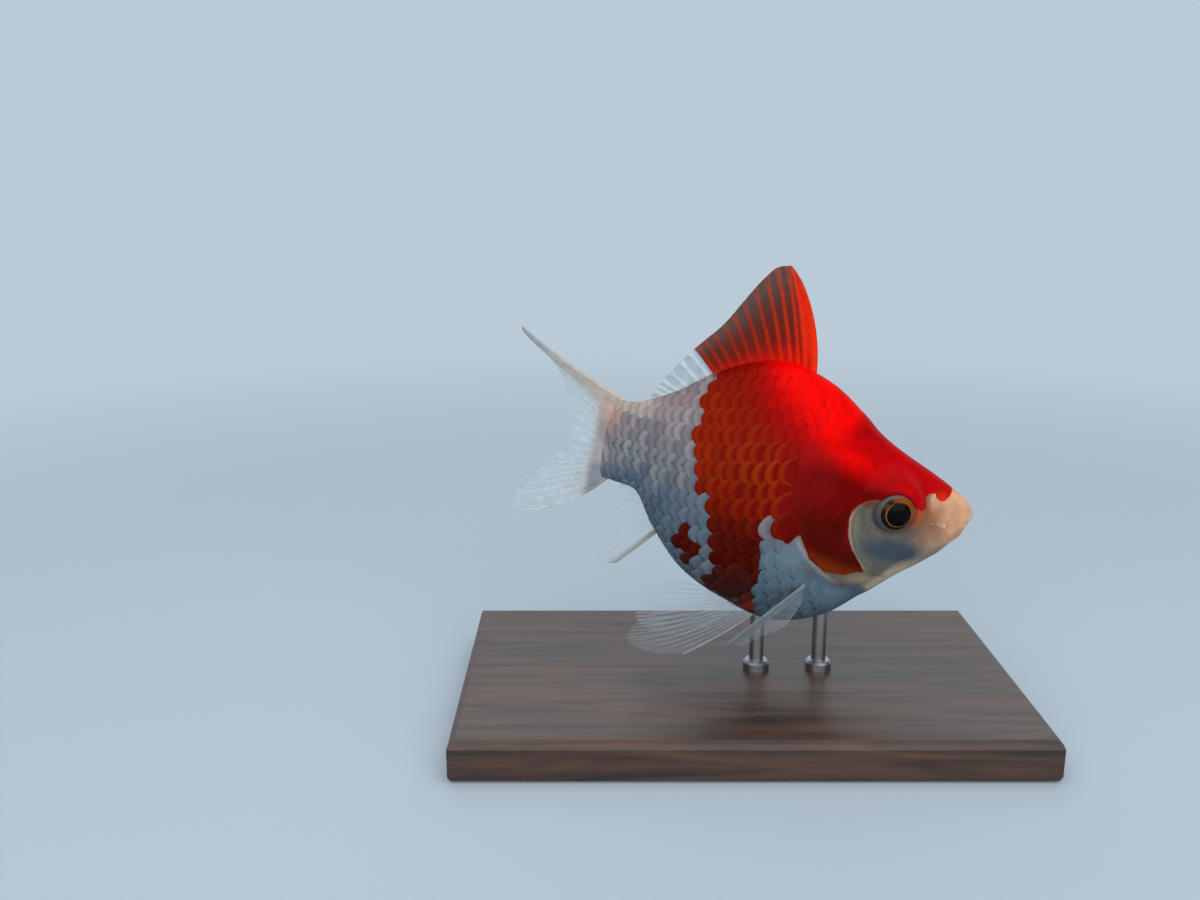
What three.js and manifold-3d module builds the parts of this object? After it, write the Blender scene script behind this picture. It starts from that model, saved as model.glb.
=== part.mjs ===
// A life-size museum model of a single-tailed fancy goldfish, held nose-down as it swims
// by two short steel rods on a flat wooden base. Millimetres, +Z up.
//
// The fish is modelled in a frame of its own: +X towards the snout, +Y to its left, +Z to its back,
// with its midline straight. bend() then swings the rear of the body and the tail to the left, and
// the fish's group pitches it nose-down above the base.
import * as THREE from "three";
import { mergeVertices } from "three/addons/utils/BufferGeometryUtils.js";
import Module from "manifold-3d";

const wasm = await Module();
wasm.setup();

// ---- Driving dimensions ----
const SNOUT_X = 34; // tip of the upper lip
const STEM_END_X = -31.6; // end of the flesh inside the tail fin
const SNOUT_ROUND = 2.6; // length over which the snout rounds off
const STEM_ROUND = 1.6;
const BEND_X = -8; // the midline is straight in front of this
const BEND_RADIUS = 75; // radius of the swing of the tail
const PITCH = 12.35; // nose-down, in degrees
const FISH_ORIGIN = [6.5, 0, 42]; // where the fish's frame sits above the base

const GAP = 0.3; // clearance between neighbouring solids
const BODY_STATIONS = 38;
const BODY_SIDES = 32;

const EYE = { x: 18.3, z: 0.2, y: 5.35, radius: 4.3 };
const BASE = { length: 96, width: 56, height: 7, edge: 1.2 };
const RODS = [
  { name: "stand_rod_front", x: 14.5 },
  { name: "stand_rod_rear", x: 3.5 },
];
const ROD_RADIUS = 1.25;

// ---- Curves ----
// A smooth curve through [x, y] points in rising x, with the slope at each taken from its neighbours.
function curve(points) {
  const slope = points.map((p, i) => {
    const a = points[Math.max(i - 1, 0)];
    const b = points[Math.min(i + 1, points.length - 1)];
    return (b[1] - a[1]) / (b[0] - a[0]);
  });
  return (x) => {
    let i = 0;
    while (i < points.length - 2 && x > points[i + 1][0]) i++;
    const [x0, y0] = points[i];
    const [x1, y1] = points[i + 1];
    const w = x1 - x0;
    const t = THREE.MathUtils.clamp((x - x0) / w, 0, 1);
    const t2 = t * t;
    const t3 = t2 * t;
    return (
      (2 * t3 - 3 * t2 + 1) * y0 +
      (t3 - 2 * t2 + t) * w * slope[i] +
      (3 * t2 - 2 * t3) * y1 +
      (t3 - t2) * w * slope[i + 1]
    );
  };
}

// The outline of the back and of the belly, the half-width, and how high the widest line runs,
// as a share of the depth. Each is read along the fish from the tail to the snout.
const backLine = curve([
  [-32, 7.0], [-27, 7.3], [-20.8, 10.7], [-14.6, 15.8], [-7.5, 19.3], [-2, 19.9],
  [4, 18.3], [7.8, 16.4], [11.2, 13.9], [14.5, 11.3], [18.6, 9.1], [26.7, 5.7], [31, 3.6], [34, 1.9],
]);
const bellyLine = curve([
  [-32, -7.6], [-26, -7.7], [-23.2, -8.3], [-19.5, -13.2], [-13.3, -19.2], [-5.2, -23.0], [3.5, -25.0],
  [12.3, -22.5], [18.2, -17.7], [22.6, -13.2], [28.6, -8.0], [31, -5.1], [34, -2.2],
]);
const halfWidth = curve([
  [-32, 2.1], [-27, 3.2], [-22, 5.0], [-16, 8.2], [-10, 11.0], [-4, 12.6], [2, 13.0],
  [8, 12.0], [13, 10.2], [19, 7.7], [25, 6.2], [30, 4.4], [34, 2.9],
]);
const widestAt = curve([[-32, 0.5], [-22, 0.48], [0, 0.4], [12, 0.38], [20, 0.44], [34, 0.5]]);
// How square the section is above and below its widest line: 2 is an ellipse.
const backShape = curve([[-32, 2], [-10, 1.8], [8, 1.75], [20, 2.15], [34, 2.1]]);
const bellyShape = curve([[-32, 2], [-10, 2.1], [8, 2.2], [20, 2.0], [34, 2.0]]);

function endRounding(x, grow) {
  const front = x - (SNOUT_X + grow - SNOUT_ROUND);
  const rear = STEM_END_X - grow + STEM_ROUND - x;
  if (front > 0) return Math.sqrt(Math.max(0, 1 - (front / SNOUT_ROUND) ** 2));
  if (rear > 0) return Math.sqrt(Math.max(0, 1 - (rear / STEM_ROUND) ** 2));
  return 1;
}

// A point of the body's surface: x along it, turn round it (0 is its left side, a quarter turn its
// back), grown outwards by a distance.
function bodyPoint(x, turn, grow = 0) {
  const back = backLine(x);
  const belly = bellyLine(x);
  const middle = belly + widestAt(x) * (back - belly);
  const round = endRounding(x, grow);
  const c = Math.cos(turn);
  const s = Math.sin(turn);
  const power = 2 / (s > 0 ? backShape(x) : bellyShape(x));
  const height = (s > 0 ? back - middle : middle - belly) + grow;
  return [
    x,
    round * (halfWidth(x) + grow) * Math.sign(c) * Math.abs(c) ** power,
    middle + round * height * Math.sign(s) * Math.abs(s) ** power,
  ];
}

// Swings what lies behind BEND_X round to the fish's left.
function bend([x, y, z]) {
  if (x >= BEND_X) return [x, y, z];
  const angle = (BEND_X - x) / BEND_RADIUS;
  const reach = BEND_RADIUS - y;
  return [BEND_X - reach * Math.sin(angle), BEND_RADIUS - reach * Math.cos(angle), z];
}

// ---- Solids ----
function solid(geometry) {
  const bare = geometry.clone();
  bare.deleteAttribute("normal");
  bare.deleteAttribute("uv");
  const merged = mergeVertices(bare, 1e-4);
  const vertProperties = new Float32Array(merged.attributes.position.array);
  const triVerts = new Uint32Array(merged.index.array);
  const made = new wasm.Manifold(new wasm.Mesh({ numProp: 3, vertProperties, triVerts }));
  if (made.volume() > 0) return made;
  for (let i = 0; i < triVerts.length; i += 3) {
    [triVerts[i + 1], triVerts[i + 2]] = [triVerts[i + 2], triVerts[i + 1]];
  }
  return new wasm.Manifold(new wasm.Mesh({ numProp: 3, vertProperties, triVerts }));
}

function geometryOf(manifold) {
  const mesh = manifold.getMesh();
  const points = new Float32Array(mesh.numVert * 3);
  for (let i = 0; i < mesh.numVert; i++) {
    points.set(mesh.vertProperties.subarray(i * mesh.numProp, i * mesh.numProp + 3), i * 3);
  }
  const geometry = new THREE.BufferGeometry();
  geometry.setAttribute("position", new THREE.BufferAttribute(points, 3));
  geometry.setIndex(new THREE.BufferAttribute(new Uint32Array(mesh.triVerts), 1));
  geometry.computeVertexNormals();
  return geometry;
}

// Moves every vertex of a geometry by a function of its place.
function reshape(geometry, place) {
  const position = geometry.attributes.position;
  for (let i = 0; i < position.count; i++) {
    position.setXYZ(i, ...place(position.getX(i), position.getY(i), position.getZ(i)));
  }
  return geometry;
}

// The whole body as one solid: a sphere's poles become the snout and the end of the tail stem.
function body(grow) {
  const sphere = new THREE.SphereGeometry(1, BODY_SIDES, BODY_STATIONS);
  const from = SNOUT_X + grow;
  const length = from - (STEM_END_X - grow);
  return solid(
    reshape(sphere, (px, py, pz) => {
      const pole = Math.abs(py) > 1 - 1e-9;
      const x = from - (length * (1 - py)) / 2;
      return bend(bodyPoint(x, pole ? 0 : Math.atan2(pz, px), grow));
    }),
  );
}

// A flat outline in the fish's x and z, made solid from one y to another.
function slab(points, yFrom, yTo, smooth = false) {
  const shape = new THREE.Shape();
  const corners = points.map(([x, z]) => new THREE.Vector2(x, z));
  shape.moveTo(corners[0].x, corners[0].y);
  if (smooth) {
    shape.splineThru([...corners.slice(1), corners[0]]);
  } else {
    corners.slice(1).forEach((p) => shape.lineTo(p.x, p.y));
    shape.closePath();
  }
  const geometry = new THREE.ExtrudeGeometry(shape, {
    depth: yTo - yFrom,
    bevelEnabled: false,
    curveSegments: 3,
  });
  return solid(reshape(geometry, (x, z, depth) => [x, yFrom + depth, z]));
}

const fleshColour = (colour, roughness = 0.4) =>
  new THREE.MeshStandardMaterial({ color: colour, roughness, metalness: 0 });
const scarlet = fleshColour("#d4200a");
const orangeRed = fleshColour("#bf3a10");
const pearl = fleshColour("#c9c4c6");
const cheek = fleshColour("#c8b8a6");
const finWhite = fleshColour("#dfe6ea", 0.5);
const finRed = fleshColour("#c9371c", 0.5);
const eyeDark = new THREE.MeshStandardMaterial({ color: "#15100c", roughness: 0.08, metalness: 0 });
const lacquer = new THREE.MeshStandardMaterial({ color: "#2a201b", roughness: 0.35, metalness: 0 });
const steel = new THREE.MeshStandardMaterial({ color: "#b9bcbf", roughness: 0.3, metalness: 1 });

const fish = new THREE.Group();
fish.position.set(...FISH_ORIGIN);
fish.rotation.y = THREE.MathUtils.degToRad(PITCH);
const model = new THREE.Group();
model.add(fish);

function add(parent, name, shape, material) {
  const mesh = new THREE.Mesh(shape.isBufferGeometry ? shape : geometryOf(shape), material);
  mesh.name = name;
  parent.add(mesh);
  return mesh;
}

// ---- The body and its parts ----
const whole = body(0);
const grown = body(GAP);

// The gill cover is a thin plate on each side. Its outline starts at its upper rear corner and runs
// forward over its top, down behind the cheek, and back along its free edge.
const GILL_COVER_THICK = 1.3;
const GILL_COVER = [
  [2.2, 7.2], [6.5, 6.6], [10.6, 3.0], [10.5, -1.4], [11.6, -6.0], [14.2, -10.2],
  [12.0, -11.6], [8.6, -11.6], [5.4, -9.8], [2.6, -6.2], [0.7, -1.4], [0.7, 4.0],
];
// The cuts between the parts, each GAP wide: behind the head, in front of the tail stem, and
// under the mouth.
const NECK = [[12.5, 30], [7.0, 8], [4.0, -2], [9.0, -12], [17.5, -22], [20.0, -30]];
const STEM_X = -21.5;
const JAW = [[36, -0.75], [33.2, -0.75], [28.6, -3.6], [24.4, -6.4], [24.6, -20], [36, -20]];

const FAR = 40; // beyond the fish on every side
const cutBand = (line) => {
  const back = [...line].reverse().map(([x, z]) => [x - GAP, z]);
  return slab([...line, ...back], -FAR, FAR);
};
const inFrontOf = (line) => slab([...line, [FAR, -30], [FAR, 30]], -FAR, FAR);
const behind = (line) => slab([...line.map(([x, z]) => [x - GAP, z]), [-60, -30], [-60, 30]], -FAR, FAR);
const stemCut = [[STEM_X, 30], [STEM_X, -30]];

// A part of the outline's edge moved outwards from its middle by a distance.
function widened(outline, by) {
  const mid = outline.reduce((sum, p) => [sum[0] + p[0], sum[1] + p[1]], [0, 0]);
  const [mx, mz] = mid.map((v) => v / outline.length);
  return outline.map(([x, z]) => {
    const away = Math.hypot(x - mx, z - mz);
    return [x + ((x - mx) / away) * by, z + ((z - mz) / away) * by];
  });
}

const underCover = body(-GILL_COVER_THICK);
const underGap = body(-GILL_COVER_THICK - GAP);
const sides = [
  { side: "right", sign: -1 },
  { side: "left", sign: 1 },
];
const spanOf = (sign) => (sign < 0 ? [-FAR, -2] : [2, FAR]);

let sockets = null;
for (const { side, sign } of sides) {
  const [from, to] = spanOf(sign);
  const cover = whole.intersect(slab(GILL_COVER, from, to, true)).subtract(underCover);
  add(fish, `gill_cover_${side}`, cover, side === "right" ? orangeRed : scarlet);
  const room = slab(widened(GILL_COVER, GAP), from, to, true).subtract(underGap);

  const ball = new THREE.SphereGeometry(EYE.radius, 20, 12);
  ball.translate(EYE.x, sign * EYE.y, EYE.z);
  add(fish, `eye_${side}`, solid(ball), eyeDark);
  const socket = new THREE.SphereGeometry(EYE.radius + GAP, 20, 12);
  socket.translate(EYE.x, sign * EYE.y, EYE.z);
  const both = room.add(solid(socket));
  sockets = sockets ? sockets.add(both) : both;
}

const jawWedge = slab(JAW, -FAR, FAR);
const jawRoom = slab(widened(JAW, GAP), -FAR, FAR);
add(fish, "lower_jaw", whole.intersect(jawWedge).subtract(sockets), cheek);
add(fish, "head", whole.intersect(inFrontOf(NECK)).subtract(jawRoom).subtract(sockets), scarlet);

const rearOfHead = whole.intersect(behind(NECK)).subtract(sockets);
const trunk = rearOfHead.subtract(slab([[-60, 30], [STEM_X, 30], [STEM_X, -30], [-60, -30]], -FAR, FAR));
const stem = rearOfHead.intersect(behind(stemCut));
add(fish, "trunk", trunk, orangeRed);
add(fish, "tail_stem", stem, pearl);

// ---- Fins ----
// A fin is a fan of rays. Each row of its table says where the ray is rooted, how long it is, and
// the directions in which it starts and ends, in degrees; the ray between them is an arc. A fin's
// sheet is a box whose width runs across the rays and whose length runs along them.
function fanOf({ rays, root, frame, sway = () => 0 }) {
  const length = curve(rays.map((r) => [r.at, r.length]));
  const start = curve(rays.map((r) => [r.at, r.start]));
  const end = curve(rays.map((r) => [r.at, r.end]));
  const [ahead, across] = frame;
  const side = new THREE.Vector3().crossVectors(ahead, across).normalize();
  return (u, v) => {
    const a0 = THREE.MathUtils.degToRad(start(u));
    const turn = THREE.MathUtils.degToRad(end(u)) - a0 || 1e-6;
    const size = length(u) / turn;
    const along = size * (Math.sin(a0 + turn * v) - Math.sin(a0));
    const over = size * (Math.cos(a0) - Math.cos(a0 + turn * v));
    return root(u)
      .addScaledVector(ahead, along)
      .addScaledVector(across, over)
      .addScaledVector(side, sway(u, v));
  };
}

const FIN_ROOT_THICK = 1.0;
const FIN_TIP_THICK = 0.55;

function finSolid(place, rayCount, steps) {
  const box = new THREE.BoxGeometry(1, 1, 1, rayCount, 1, steps);
  const small = 1e-3;
  return solid(
    reshape(box, (bx, by, bz) => {
      const u = bx + 0.5;
      const v = bz + 0.5;
      const here = place(u, v);
      const overU = place(Math.min(u + small, 1), v).sub(place(Math.max(u - small, 0), v));
      const overV = place(u, Math.min(v + small, 1)).sub(place(u, Math.max(v - small, 0)));
      const normal = overU.cross(overV).normalize();
      const thick = THREE.MathUtils.lerp(FIN_ROOT_THICK, FIN_TIP_THICK, v);
      here.addScaledVector(normal, by * thick);
      return bend(here.toArray());
    }),
  );
}

const vec = (x, y, z) => new THREE.Vector3(x, y, z);
const upright = [vec(-1, 0, 0), vec(0, 0, 1)]; // directions turn from straight back up to straight up

const dorsalFan = fanOf({
  frame: upright,
  root: (u) => {
    const x = THREE.MathUtils.lerp(1.7, -22.4, u);
    return vec(x, 0, backLine(x) - 1.6 + 0.6 * u);
  },
  rays: [
    { at: 0, length: 16.9, start: 83, end: 52 },
    { at: 0.06, length: 18.8, start: 79, end: 56 },
    { at: 0.126, length: 17.9, start: 75, end: 64 },
    { at: 0.19, length: 17.1, start: 72, end: 63.5 },
    { at: 0.25, length: 15.3, start: 69, end: 62 },
    { at: 0.383, length: 11.3, start: 62, end: 57 },
    { at: 0.51, length: 8.2, start: 56, end: 50 },
    { at: 0.62, length: 6.6, start: 47, end: 42 },
    { at: 0.78, length: 4.9, start: 40, end: 34 },
    { at: 0.89, length: 3.7, start: 24, end: 18 },
    { at: 1, length: 2.2, start: 4, end: 2 },
  ],
});

// The tail fin is single and forked: a narrow upper lobe that ends in a ribbon, a notch near the
// middle, and a broad rounded lower lobe.
const tailFan = fanOf({
  frame: upright,
  root: (u) => vec(-28.6 - 2 * Math.sin(Math.PI * u), 0, THREE.MathUtils.lerp(6.9, -7.3, u)),
  rays: [
    { at: 0, length: 23.2, start: 15.2, end: 21.2 },
    { at: 0.05, length: 23.0, start: 16, end: 21.3 },
    { at: 0.1, length: 21.4, start: 16.4, end: 22.1 },
    { at: 0.2, length: 17.0, start: 21.8, end: 24.5 },
    { at: 0.3, length: 13.2, start: 27, end: 24 },
    { at: 0.4, length: 10.1, start: 25, end: 22 },
    { at: 0.5, length: 7.5, start: 16, end: 14 },
    { at: 0.6, length: 6.3, start: 0, end: -3 },
    { at: 0.7, length: 8.3, start: -14, end: -12 },
    { at: 0.8, length: 12.4, start: -22, end: -19 },
    { at: 0.9, length: 17.6, start: -34, end: -21 },
    { at: 0.96, length: 20.0, start: -43, end: -20 },
    { at: 1, length: 19.4, start: -53, end: -17 },
  ],
  // The upper lobe trails a little to the left behind its leading edge.
  sway: (u, v) => 1.2 * v * v * Math.sin(Math.PI * Math.min(u / 0.6, 1)),
});

const analFan = fanOf({
  frame: upright,
  root: (u) => vec(THREE.MathUtils.lerp(-17.6, -22.6, u), 0, THREE.MathUtils.lerp(-13.6, -7.4, u)),
  rays: [
    { at: 0, length: 10.2, start: -54, end: -50 },
    { at: 0.2, length: 12.8, start: -54, end: -46 },
    { at: 0.42, length: 12.4, start: -46, end: -36 },
    { at: 0.7, length: 8.6, start: -32, end: -22 },
    { at: 1, length: 4.0, start: -8, end: 0 },
  ],
  sway: (u, v) => 0.8 * v * v * Math.sin(Math.PI * u),
});

add(fish, "dorsal_fin", finSolid(dorsalFan, 17, 6).subtract(grown), finRed);
add(fish, "tail_fin", finSolid(tailFan, 20, 7).subtract(grown), finWhite);
add(fish, "anal_fin", finSolid(analFan, 8, 5).subtract(grown), finWhite);

// Two directions at right angles in a paired fin's plane: along its leading ray, and on from it
// towards its trailing ray. Both are given for the left side.
function pairedFrame(sign, leading, trailing) {
  const ahead = vec(leading[0], sign * leading[1], leading[2]).normalize();
  const across = vec(trailing[0], sign * trailing[1], trailing[2]);
  across.addScaledVector(ahead, -across.dot(ahead)).normalize();
  return [ahead, across];
}

const pelvicFan = (sign) =>
  fanOf({
    frame: pairedFrame(sign, [-0.9, 0.42, -0.1], [-0.1, 0.45, 0.85]),
    root: (u) =>
      vec(
        THREE.MathUtils.lerp(1.4, -2.6, u),
        sign * THREE.MathUtils.lerp(3.4, 2.2, u),
        THREE.MathUtils.lerp(-23.5, -22.7, u),
      ),
    rays: [
      { at: 0, length: 14.5, start: -50, end: -33 },
      { at: 0.2, length: 18.5, start: -43, end: -27 },
      { at: 0.5, length: 20.5, start: -31, end: -19 },
      { at: 0.8, length: 16.5, start: -16, end: -8 },
      { at: 1, length: 11, start: -4, end: 2 },
    ],
    sway: (u, v) => -sign * 1.4 * v * v * Math.sin(Math.PI * u),
  });

const pectoralFan = (sign) =>
  fanOf({
    frame: pairedFrame(sign, [-0.67, 0.47, -0.58], [-0.35, 0.13, -0.92]),
    root: (u) =>
      vec(
        THREE.MathUtils.lerp(7.6, 8.3, u),
        sign * THREE.MathUtils.lerp(10.3, 9.4, u),
        THREE.MathUtils.lerp(-12.7, -14.4, u),
      ),
    rays: [
      { at: 0, length: 19.8, start: 0, end: -2 },
      { at: 0.33, length: 16.8, start: 10, end: 10 },
      { at: 0.66, length: 12.4, start: 18, end: 19 },
      { at: 1, length: 8.6, start: 31, end: 33 },
    ],
    sway: (u, v) => sign * 0.6 * v * v * Math.sin(Math.PI * u),
  });

for (const { side, sign } of sides) {
  add(fish, `pelvic_fin_${side}`, finSolid(pelvicFan(sign), 8, 6).subtract(grown), finWhite);
  add(fish, `pectoral_fin_${side}`, finSolid(pectoralFan(sign), 8, 6).subtract(grown), finWhite);
}

// ---- The stand ----
// A flat base with its edges eased, and two rods that end in the shape of the belly they carry.
const plan = new THREE.Shape();
const halfLength = BASE.length / 2 - BASE.edge;
const halfDepth = BASE.width / 2 - BASE.edge;
plan.moveTo(-halfLength, -halfDepth);
plan.lineTo(halfLength, -halfDepth);
plan.lineTo(halfLength, halfDepth);
plan.lineTo(-halfLength, halfDepth);
plan.closePath();
const baseGeometry = new THREE.ExtrudeGeometry(plan, {
  depth: BASE.height - 2 * BASE.edge,
  bevelEnabled: true,
  bevelSize: BASE.edge,
  bevelThickness: BASE.edge,
  bevelSegments: 2,
});
baseGeometry.translate(0, 0, BASE.edge);
add(model, "stand_base", solid(baseGeometry), lacquer);

fish.updateMatrixWorld(true);
const fishInPlace = grown.transform(fish.matrixWorld.elements);
for (const rod of RODS) {
  const foot = BASE.height + 0.02;
  const top = FISH_ORIGIN[2];
  const cylinder = new THREE.CylinderGeometry(ROD_RADIUS, ROD_RADIUS, top - foot, 20);
  cylinder.rotateX(Math.PI / 2);
  cylinder.translate(rod.x, 0, (top + foot) / 2);
  const below = solid(cylinder).subtract(fishInPlace).decompose();
  const lowest = below.sort((a, b) => a.boundingBox().min[2] - b.boundingBox().min[2])[0];
  add(model, rod.name, lowest, steel);
}

export default model;
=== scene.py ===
# A life-size museum model of a red-and-white fancy goldfish on a wooden base with two steel rods.
# Metres, in the shared frame. The fish is shaped in a frame of its own, in millimetres: +X to the
# snout, +Y to its left, +Z to its back, with its midline straight.
import math

import bmesh
import bpy
import numpy as np
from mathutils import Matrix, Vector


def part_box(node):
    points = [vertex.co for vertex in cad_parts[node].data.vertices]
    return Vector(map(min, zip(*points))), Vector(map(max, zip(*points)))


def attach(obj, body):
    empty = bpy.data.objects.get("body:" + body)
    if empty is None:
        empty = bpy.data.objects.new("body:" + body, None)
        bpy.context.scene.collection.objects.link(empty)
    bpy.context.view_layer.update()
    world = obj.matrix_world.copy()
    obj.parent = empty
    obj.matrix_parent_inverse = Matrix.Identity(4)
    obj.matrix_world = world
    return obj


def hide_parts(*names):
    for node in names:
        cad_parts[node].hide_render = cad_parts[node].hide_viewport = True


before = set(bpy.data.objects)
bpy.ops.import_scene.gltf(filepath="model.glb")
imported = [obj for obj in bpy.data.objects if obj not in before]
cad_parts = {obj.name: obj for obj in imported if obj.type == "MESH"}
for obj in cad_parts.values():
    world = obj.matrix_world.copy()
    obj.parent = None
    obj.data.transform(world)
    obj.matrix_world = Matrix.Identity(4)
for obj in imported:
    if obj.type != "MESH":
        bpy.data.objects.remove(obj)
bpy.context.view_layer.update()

# ---- The skin ----
# One unbroken skin covers the head, gill covers, trunk and tail stem. It is cast resin painted in thin
# glazes: smooth and moist on the head, and 0.4 mm lower where the scales lie on it. It is shaped from
# one closed ball, whose poles become the snout and the end of the tail stem.
SNOUT_X, STEM_END_X = 34.0, -31.6
SNOUT_ROUND, STEM_ROUND = 2.6, 1.8
BEND_X, BEND_RADIUS = -8.0, 75.0
PITCH = math.radians(12.35)
FISH_ORIGIN = (6.5, 0.0, 42.0)
COAT_DEPTH = 0.4
MM = 0.001


def curve(points):
    """A smooth curve through (x, y) points, with the slope at each taken from its neighbours."""
    xs, ys = np.array(points, float).T
    last = len(xs) - 1
    before, after = np.maximum(np.arange(last + 1) - 1, 0), np.minimum(np.arange(last + 1) + 1, last)
    slope = (ys[after] - ys[before]) / (xs[after] - xs[before])

    def at(x):
        i = np.clip(np.searchsorted(xs, x, side="right") - 1, 0, last - 1)
        w = xs[i + 1] - xs[i]
        t = np.clip((x - xs[i]) / w, 0, 1)
        start = (2 * t**3 - 3 * t**2 + 1) * ys[i] + (t**3 - 2 * t**2 + t) * w * slope[i]
        return start + (3 * t**2 - 2 * t**3) * ys[i + 1] + (t**3 - t**2) * w * slope[i + 1]

    return at


back_line = curve([
    (-32, 7.0), (-27, 7.3), (-20.8, 10.7), (-14.6, 15.8), (-7.5, 19.3), (-2, 19.9), (4, 18.3),
    (7.8, 16.4), (11.2, 13.9), (14.5, 11.3), (18.6, 9.1), (26.7, 5.7), (31, 3.6), (34, 1.9)])
belly_line = curve([
    (-32, -7.6), (-26, -7.7), (-23.2, -8.3), (-19.5, -13.2), (-13.3, -19.2), (-5.2, -23.0), (3.5, -25.0),
    (12.3, -22.5), (18.2, -17.7), (22.6, -13.2), (28.6, -8.0), (31, -5.1), (34, -2.2)])
half_width = curve([
    (-32, 0.55), (-29.5, 1.6), (-27, 3.0), (-22, 5.0), (-16, 8.2), (-10, 11.0), (-4, 12.6), (2, 13.0),
    (8, 12.0), (13, 10.2), (19, 7.7), (25, 6.2), (30, 4.4), (34, 2.9)])
widest_at = curve([(-32, 0.5), (-22, 0.48), (0, 0.4), (12, 0.38), (20, 0.44), (34, 0.5)])
back_shape = curve([(-32, 2), (-10, 1.8), (8, 1.75), (20, 2.15), (34, 2.1)])
belly_shape = curve([(-32, 2), (-10, 2.1), (8, 2.2), (20, 2.0), (34, 2.0)])


def ramp(value, start, end):
    """0 before start, 1 after end, and smooth between them."""
    t = np.clip((value - start) / (end - start), 0, 1)
    return t * t * (3 - 2 * t)


def body(x, turn, grow=0.0):
    """Points of the body's surface, at a turn round it from its left side, grown outwards."""
    back, belly = back_line(x), belly_line(x)
    middle = belly + widest_at(x) * (back - belly)
    front = np.clip((x - SNOUT_X - grow + SNOUT_ROUND) / SNOUT_ROUND, 0, 1)
    rear = np.clip((STEM_END_X - grow + STEM_ROUND - x) / STEM_ROUND, 0, 1)
    rounding = np.sqrt(1 - np.maximum(front, rear) ** 2)
    c, s = np.cos(turn), np.sin(turn)
    power = 2 / np.where(s > 0, back_shape(x), belly_shape(x))
    height = np.where(s > 0, back - middle, middle - belly) + grow
    y = rounding * (half_width(x) + grow) * np.sign(c) * np.abs(c) ** power
    z = middle + rounding * height * np.sign(s) * np.abs(s) ** power
    return np.stack([x + 0 * y, y, z], -1)


def in_place(points):
    """Fish-frame millimetres to the shared frame: the tail swings left, and the nose pitches down."""
    x, y, z = np.moveaxis(np.asarray(points, float), -1, 0)
    angle = np.maximum(BEND_X - x, 0) / BEND_RADIUS
    reach = BEND_RADIUS - y
    behind = x < BEND_X
    x, y = (np.where(behind, BEND_X - reach * np.sin(angle), x),
            np.where(behind, BEND_RADIUS - reach * np.cos(angle), y))
    turned = (x * math.cos(PITCH) + z * math.sin(PITCH), y, z * math.cos(PITCH) - x * math.sin(PITCH))
    return (np.stack(turned, -1) + FISH_ORIGIN) * MM


def from_line(x, z, line, closed=False):
    """Distance in mm from points in the side view to a line, positive inside a closed one."""
    line = np.array(line, float)
    ends = np.roll(line, -1, 0) if closed else line[1:]
    nearest, inside = np.full(np.shape(x), 1e9), np.zeros(np.shape(x), bool)
    for (ax, az), (bx, bz) in zip(line, ends):
        dx, dz = bx - ax, bz - az
        t = np.clip(((x - ax) * dx + (z - az) * dz) / (dx * dx + dz * dz), 0, 1)
        nearest = np.minimum(nearest, np.hypot(x - ax - t * dx, z - az - t * dz))
        if closed and az != bz:
            inside ^= ((az > z) != (bz > z)) & (x < dx * (z - az) / dz + ax)
    return np.where(inside, nearest, -nearest) if closed else nearest


def hump(x, z, at_x, at_z, wide, tall):
    """A soft round patch, 1 at its middle."""
    return np.exp(-(((x - at_x) / wide) ** 2) - ((z - at_z) / tall) ** 2)


# Lines of the head in the side view. The head's rear edge runs from the nape round the gill cover's
# free edge to the throat. The cheek ends behind at the edge of the preopercle, the bone under it.
HEAD_EDGE = [
    (14, 17), (10.5, 14), (7.4, 11), (4.4, 8.8), (2.0, 7.0), (0.9, 4.4), (0.6, 1.4), (0.8, -1.6),
    (1.7, -4.6), (3.3, -7.4), (5.4, -9.6), (8.2, -11.6), (11.2, -13.1), (14.7, -13.7), (17.4, -14.8),
    (19.4, -17.2), (20.5, -23)]
HEAD_REGION = HEAD_EDGE + [(60, -23), (60, 17)]
CHEEK_EDGE = [
    (13.6, 1.3), (12.0, 0.6), (10.9, -0.6), (10.6, -2.4), (11.2, -5.0), (12.5, -7.4), (14.7, -9.6),
    (17.2, -11.2), (20.5, -11.9), (24, -10.8)]
EYE_X, EYE_Y, EYE_Z, EYE_RADIUS = 18.3, 5.35, 0.2, 4.3
EYE_RING_Y = 7.92
MOUTH_X, MOUTH_Z, MOUTH_SLOPE = 33.7, 0.2, 0.36
NOSTRIL_PITS = ((24.3, 3.0, 0.4, 0.5), (25.7, 2.7, 0.35, 0.4))

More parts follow.
